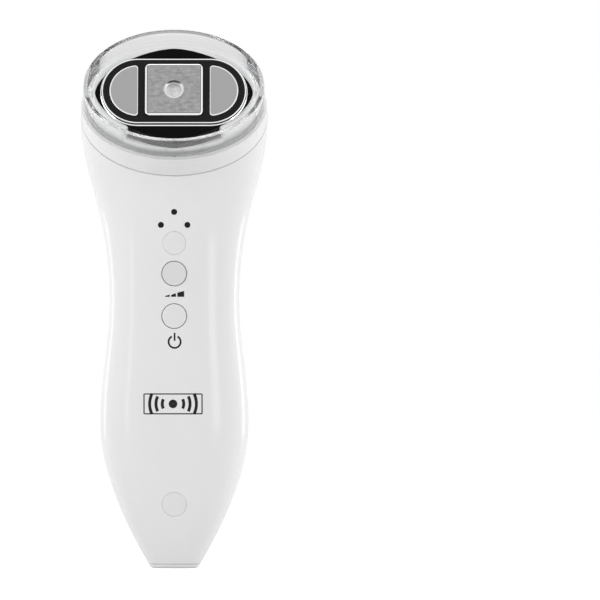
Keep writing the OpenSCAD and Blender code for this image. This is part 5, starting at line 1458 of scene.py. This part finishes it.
def printed(handle, flat, ring=False, lift=0.02):
    """A thin film of ink over the front skin, from a grid of x and z. It reaches a little under the
    skin, and its sides are closed unless it is a full ring."""
    x, z = flat[..., 0], flat[..., 1]
    y = handle.depth(-1, x, z)
    top, low = np.stack([x, y - lift, z], -1), np.stack([x, y + 0.05, z], -1)
    sides = [np.stack([top[0], low[0]]), np.stack([top[-1], low[-1]])]
    if not ring:
        sides += [np.stack([top[:, 0], low[:, 0]]), np.stack([top[:, -1], low[:, -1]])]
    return [top, low, *sides]


def patch(x0, x1, low, left, right, rows=6, columns=6):
    """A grid over a strip from x0 to x1 and up from low, with its left and right side so high."""
    u, v = np.linspace(0, 1, columns)[None, :, None], np.linspace(0, 1, rows)[:, None, None]
    ends = [np.array([x, low + z]) for x, z in ((x0, 0), (x1, 0), (x0, left), (x1, right))]
    return (ends[0] * (1 - u) + ends[1] * u) * (1 - v) + (ends[2] * (1 - u) + ends[3] * u) * v


def arc(middle, inner, outer, start, end, steps=40):
    """A band between two radii, from one angle to another in degrees."""
    t = np.radians(np.linspace(start, end, steps))[None, :, None]
    r = np.linspace(inner, outer, 3)[:, None, None]
    return np.array(middle, float) + r * np.concatenate([np.cos(t), np.sin(t)], -1)


# The printed marks on the front, in millimetres: x of both sides of each bar with its height at
# both, the height of the bars' feet, the middle of the power symbol, and the middle of the plain
# mark with the half width, half height and corner of its frame.
LEVEL_BARS = ((-3.15, -1.6, 0.28, 0.8), (-1.05, 0.6, 0.65, 1.3), (1.1, 3.45, 1.45, 2.05))
BARS_HEIGHT = 94.5
POWER_PLACE = (0.15, 78.85)
MARK_PLACE, MARK_HALF, MARK_TALL, MARK_CORNER = np.array([-0.4, 57.3]), 10.3, 3.65, 0.5


class DEVICE_OT_icons(bpy.types.Operator):
    """Printed icons: three growing bars, a power symbol and a plain wave mark in a frame"""
    bl_idname = "device.icons"
    bl_label = "Printed Icons"
    bl_options = {"REGISTER", "UNDO"}

    def execute(self, context):
        handle, ink = Handle(), print_ink(colour_of("ink"))
        bars = []
        for x0, x1, left, right in LEVEL_BARS:
            bars += printed(handle, patch(x0, x1, BARS_HEIGHT, left, right))
        build("level_bars_print", bars, ink, "dark_lens")
        x, z = POWER_PLACE
        symbol = printed(handle, arc(POWER_PLACE, 1.78, 2.42, 118, 422, 64))
        symbol += printed(handle, patch(x - 0.3, x + 0.3, z + 0.35, 2.8, 2.8, 12, 4))
        build("power_symbol_print", symbol, ink, "dark_lens")
        core = np.array([MARK_HALF - MARK_CORNER, MARK_TALL - MARK_CORNER])
        frame_band = np.array([round_cornered(core, MARK_CORNER - inset, 7, 12) + MARK_PLACE
                               for inset in (0, 0.2, 0.42)])
        mark = printed(handle, frame_band, ring=True)
        for start, end in ((154, 206), (-26, 26)):
            for r in (3.2, 5.4, 7.6):
                mark += printed(handle, arc(MARK_PLACE, r, r + 1.05, start, end, 24))
        mark += printed(handle, arc(MARK_PLACE, 0.06, 1.5, 0, 360, 40), ring=True)
        build("wave_mark_print", mark, ink, "dark_lens")
        return {"FINISHED"}


# Inside

def inner_finishes():
    """The finishes of the inner parts, each with the CAD nodes that wear it."""
    return [
        (inner_plastic("chassis_grey", (0.5, 0.51, 0.53)), ["head_chassis"]),
        (inner_plastic("bracket_black", (0.035, 0.036, 0.04)), ["motor_bracket", "battery_holder"]),
        (inner_plastic("jack_black", (0.02, 0.02, 0.022), 1.4),
         ["charging_jack", "sounder", "level_switch", "power_switch"]),
        (inner_plastic("chip_black", (0.03, 0.03, 0.032), 2.0), ["control_chip"]),
        (inner_plastic("plunger_orange", (0.75, 0.3, 0.05), 1.6),
         ["level_switch_plunger", "power_switch_plunger"]),
        (inner_plastic("connector_white", (0.72, 0.72, 0.68), 1.4), ["battery_connector"]),
        (circuit_board("board_green", (0.012, 0.12, 0.035)), ["main_board", "charging_board"]),
        (circuit_board("light_board_white", (0.6, 0.61, 0.6)), ["light_board"]),
        (clear_resin("warm_lamp", (0.85, 0.78, 0.5)), ["ring_lights"]),
        (clear_resin("red_lamp", (0.75, 0.07, 0.05)), ["level_lights"]),
        (clear_resin("blue_lamp", (0.08, 0.14, 0.75)), ["mode_light"]),
        (clear_resin("green_lamp", (0.06, 0.6, 0.12)), ["charge_light"]),
        (inner_metal("zinc_screw", (0.62, 0.63, 0.65), 0.25), ["head_screws", "board_screws"]),
        (inner_metal("motor_can", (0.6, 0.6, 0.61), 0.2), ["vibration_motor", "motor_shaft"]),
        (inner_metal("tungsten_weight", (0.3, 0.3, 0.31), 0.38), ["eccentric_weight"]),
        (inner_metal("contact_pin", (0.78, 0.74, 0.6), 0.18), ["jack_pin"]),
        (wound_copper("choke_winding", (0.62, 0.26, 0.1)), ["choke_coil"]),
        (wound_copper("transformer_tape", (0.72, 0.55, 0.16)), ["power_transformer"]),
        (sleeve("capacitor_sleeve", (0.03, 0.05, 0.16)), ["storage_capacitor"]),
        (sleeve("cell_sleeve", (0.02, 0.09, 0.4)), ["battery_cell"]),
        (sleeve("lead_red", (0.55, 0.02, 0.02)), ["battery_leads"]),
        (sleeve("lead_yellow", (0.7, 0.55, 0.04)), ["charging_leads"]),
        (sleeve("lead_black", (0.02, 0.02, 0.022)), ["electrode_leads"]),
        (sleeve("lead_blue", (0.03, 0.09, 0.5)), ["motor_leads"]),
        (ceramic("piezo_ceramic", (0.62, 0.55, 0.4)), ["piezo_disc"]),
    ]


class DEVICE_OT_inner_parts(bpy.types.Operator):
    """Finishes of the parts inside the handle and the head, which keep their CAD shapes"""
    bl_idname = "device.inner_parts"
    bl_label = "Inner Parts"
    bl_options = {"REGISTER", "UNDO"}

    def execute(self, context):
        for material, nodes in inner_finishes():
            for name in nodes:
                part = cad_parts[name]
                part.data.materials.clear()
                part.data.materials.append(material)
        return {"FINISHED"}


# Stage

# Strength of the world's light and of the floor's glow to the camera, where 1 is white, and the
# height that the lamps look at, in metres.
WORLD_LIGHT, FLOOR_GLOW, AIM_HEIGHT = 0.58, 0.75, 0.25

# The camera's place in metres, and its focal length in millimetres. It stands far away with a long
# lens, so that it shows no perspective.
CAMERA_PLACE, FOCAL_LENGTH = (0.04373, -6.0, 0.0934), 1033


def seen_white(wire, shader, *kinds):
    """White to these kinds of ray, and the given shader to all others."""
    return wire.rays(*kinds).blend(shader, wire.emission(1.0))


# Lamps round the device: name, degrees round from the front, distance, height of the middle,
# width, height of the box and brightness, where 1 is white. Only the strips show in the gloss.
LAMPS = [("left_softbox", -65, 0.75, 0.25, 0.6, 0.5, 2.2),
         ("right_softbox", 58, 0.75, 0.25, 0.6, 0.5, 1.2),
         ("left_strip", -52, 0.65, 0.25, 0.05, 0.5, 2.4),
         ("right_strip", 42, 0.7, 0.25, 0.16, 0.5, 2.3),
         ("rear_left_softbox", -118, 0.75, 0.25, 0.55, 0.5, 0.8),
         ("rear_right_softbox", 114, 0.75, 0.25, 0.55, 0.5, 1.3),
         ("rear_left_strip", -128, 0.65, 0.25, 0.14, 0.5, 1.3),
         ("rear_right_strip", 124, 0.65, 0.25, 0.14, 0.5, 2.4),
         ("top_fill", 180, 0.5, 1.3, 1.4, 0.6, 0.9)]


class DEVICE_OT_stage(bpy.types.Operator):
    """Pale floor, white surroundings, soft lamps and the camera"""
    bl_idname = "device.stage"
    bl_label = "Stage"
    bl_options = {"REGISTER", "UNDO"}

    def execute(self, context):
        scene = context.scene
        scene.view_settings.view_transform = "Standard"
        world = bpy.data.worlds.new("pale_studio")
        world.use_nodes = True
        wire = Wire(world.node_tree)
        soft = wire.add("ShaderNodeBackground", None,
                        {"Color": (1, 1, 1, 1), "Strength": WORLD_LIGHT})
        seen = seen_white(wire, soft, "Camera", "Glossy", "Transmission")
        wire.tree.links.new(seen.socket, wire.tree.nodes["World Output"].inputs[0])
        scene.world = world

        paper = Finish("pale_floor", Specular_IOR_Level=0.0)
        fibre = paper.noise(1200, 3)
        paper.feed(Base_Color=fibre.tint((0.8, 0.8, 0.8), (0.83, 0.83, 0.83)),
                   Roughness=0.9 + fibre * 0.05)
        glow = paper.wire.emission(paper.wire.rays("Camera") * FLOOR_GLOW)
        lit = paper.wire.add("ShaderNodeAddShader", None, {0: paper.surface, 1: glow})
        paper.show(seen_white(paper.wire, lit, "Glossy", "Transmission"))
        x, y = np.meshgrid(np.linspace(-3, 3, 13), np.linspace(-3, 3, 13))
        points = np.stack([x, y, 0 * x - 0.0001], -1).reshape(-1, 3)
        floor = bpy.data.meshes.new("pale_floor")
        floor.from_pydata(points.tolist(), [],
                          quads_of(np.arange(x.size).reshape(x.shape)).reshape(-1, 4).tolist())
        floor.materials.append(paper.material)
        sheet = bpy.data.objects.new("pale_floor", floor)
        scene.collection.objects.link(sheet)

        for name, degrees, away, high, wide, tall, light in LAMPS:
            lamp = bpy.data.lights.new(name, "AREA")
            lamp.shape, lamp.size, lamp.size_y = "RECTANGLE", wide, tall
            lamp.energy = light * math.pi * wide * tall
            box = bpy.data.objects.new(name, lamp)
            box.visible_glossy = name.endswith("strip")
            turn = math.radians(degrees)
            box.location = (away * math.sin(turn), -away * math.cos(turn), high)
            aim = box.location - Vector((0, 0, AIM_HEIGHT))
            box.rotation_euler = aim.to_track_quat("Z", "Y").to_euler()
            scene.collection.objects.link(box)

        lens = bpy.data.cameras.new("photo_camera")
        lens.lens, lens.sensor_width, lens.clip_end = FOCAL_LENGTH, 36, 100
        camera = bpy.data.objects.new("photo_camera", lens)
        camera.location = CAMERA_PLACE
        camera.rotation_euler = (math.pi / 2, 0, 0)
        scene.collection.objects.link(camera)
        scene.camera = camera
        return {"FINISHED"}


# Panel and run

STEPS = [DEVICE_OT_front_shell, DEVICE_OT_rear_shell, DEVICE_OT_end_cap, DEVICE_OT_collar,
         DEVICE_OT_clear_ring, DEVICE_OT_diffuser, DEVICE_OT_black_floor, DEVICE_OT_carrier,
         DEVICE_OT_plate, DEVICE_OT_electrodes, DEVICE_OT_buttons, DEVICE_OT_lenses,
         DEVICE_OT_windows, DEVICE_OT_icons, DEVICE_OT_inner_parts, DEVICE_OT_stage]


class VIEW3D_PT_device(bpy.types.Panel):
    """Sizes, colours and building steps of the device"""
    bl_label = "Device"
    bl_idname = "VIEW3D_PT_device"
    bl_space_type = "VIEW_3D"
    bl_region_type = "UI"
    bl_category = "Device"

    def draw(self, context):
        for name, group in GROUPS.items():
            box = self.layout.box()
            box.label(text=group.__doc__)
            values = getattr(context.scene, name)
            for key in group.__annotations__:
                box.prop(values, key)
        for step in STEPS:
            self.layout.operator(step.bl_idname)


def register():
    """Registers the classes, and gives the scene its sizes and colours."""
    for kind in (*GROUPS.values(), *STEPS, VIEW3D_PT_device):
        bpy.utils.register_class(kind)
    for name, group in GROUPS.items():
        setattr(bpy.types.Scene, name, PointerProperty(type=group))


def unregister():
    """Takes both away again, in the reverse order."""
    for name in GROUPS:
        delattr(bpy.types.Scene, name)
    for kind in reversed((*GROUPS.values(), *STEPS, VIEW3D_PT_device)):
        bpy.utils.unregister_class(kind)


def main():
    register()
    for step in STEPS:
        getattr(bpy.ops.device, step.bl_idname.split(".")[1])()


if __name__ == "__main__":
    main()
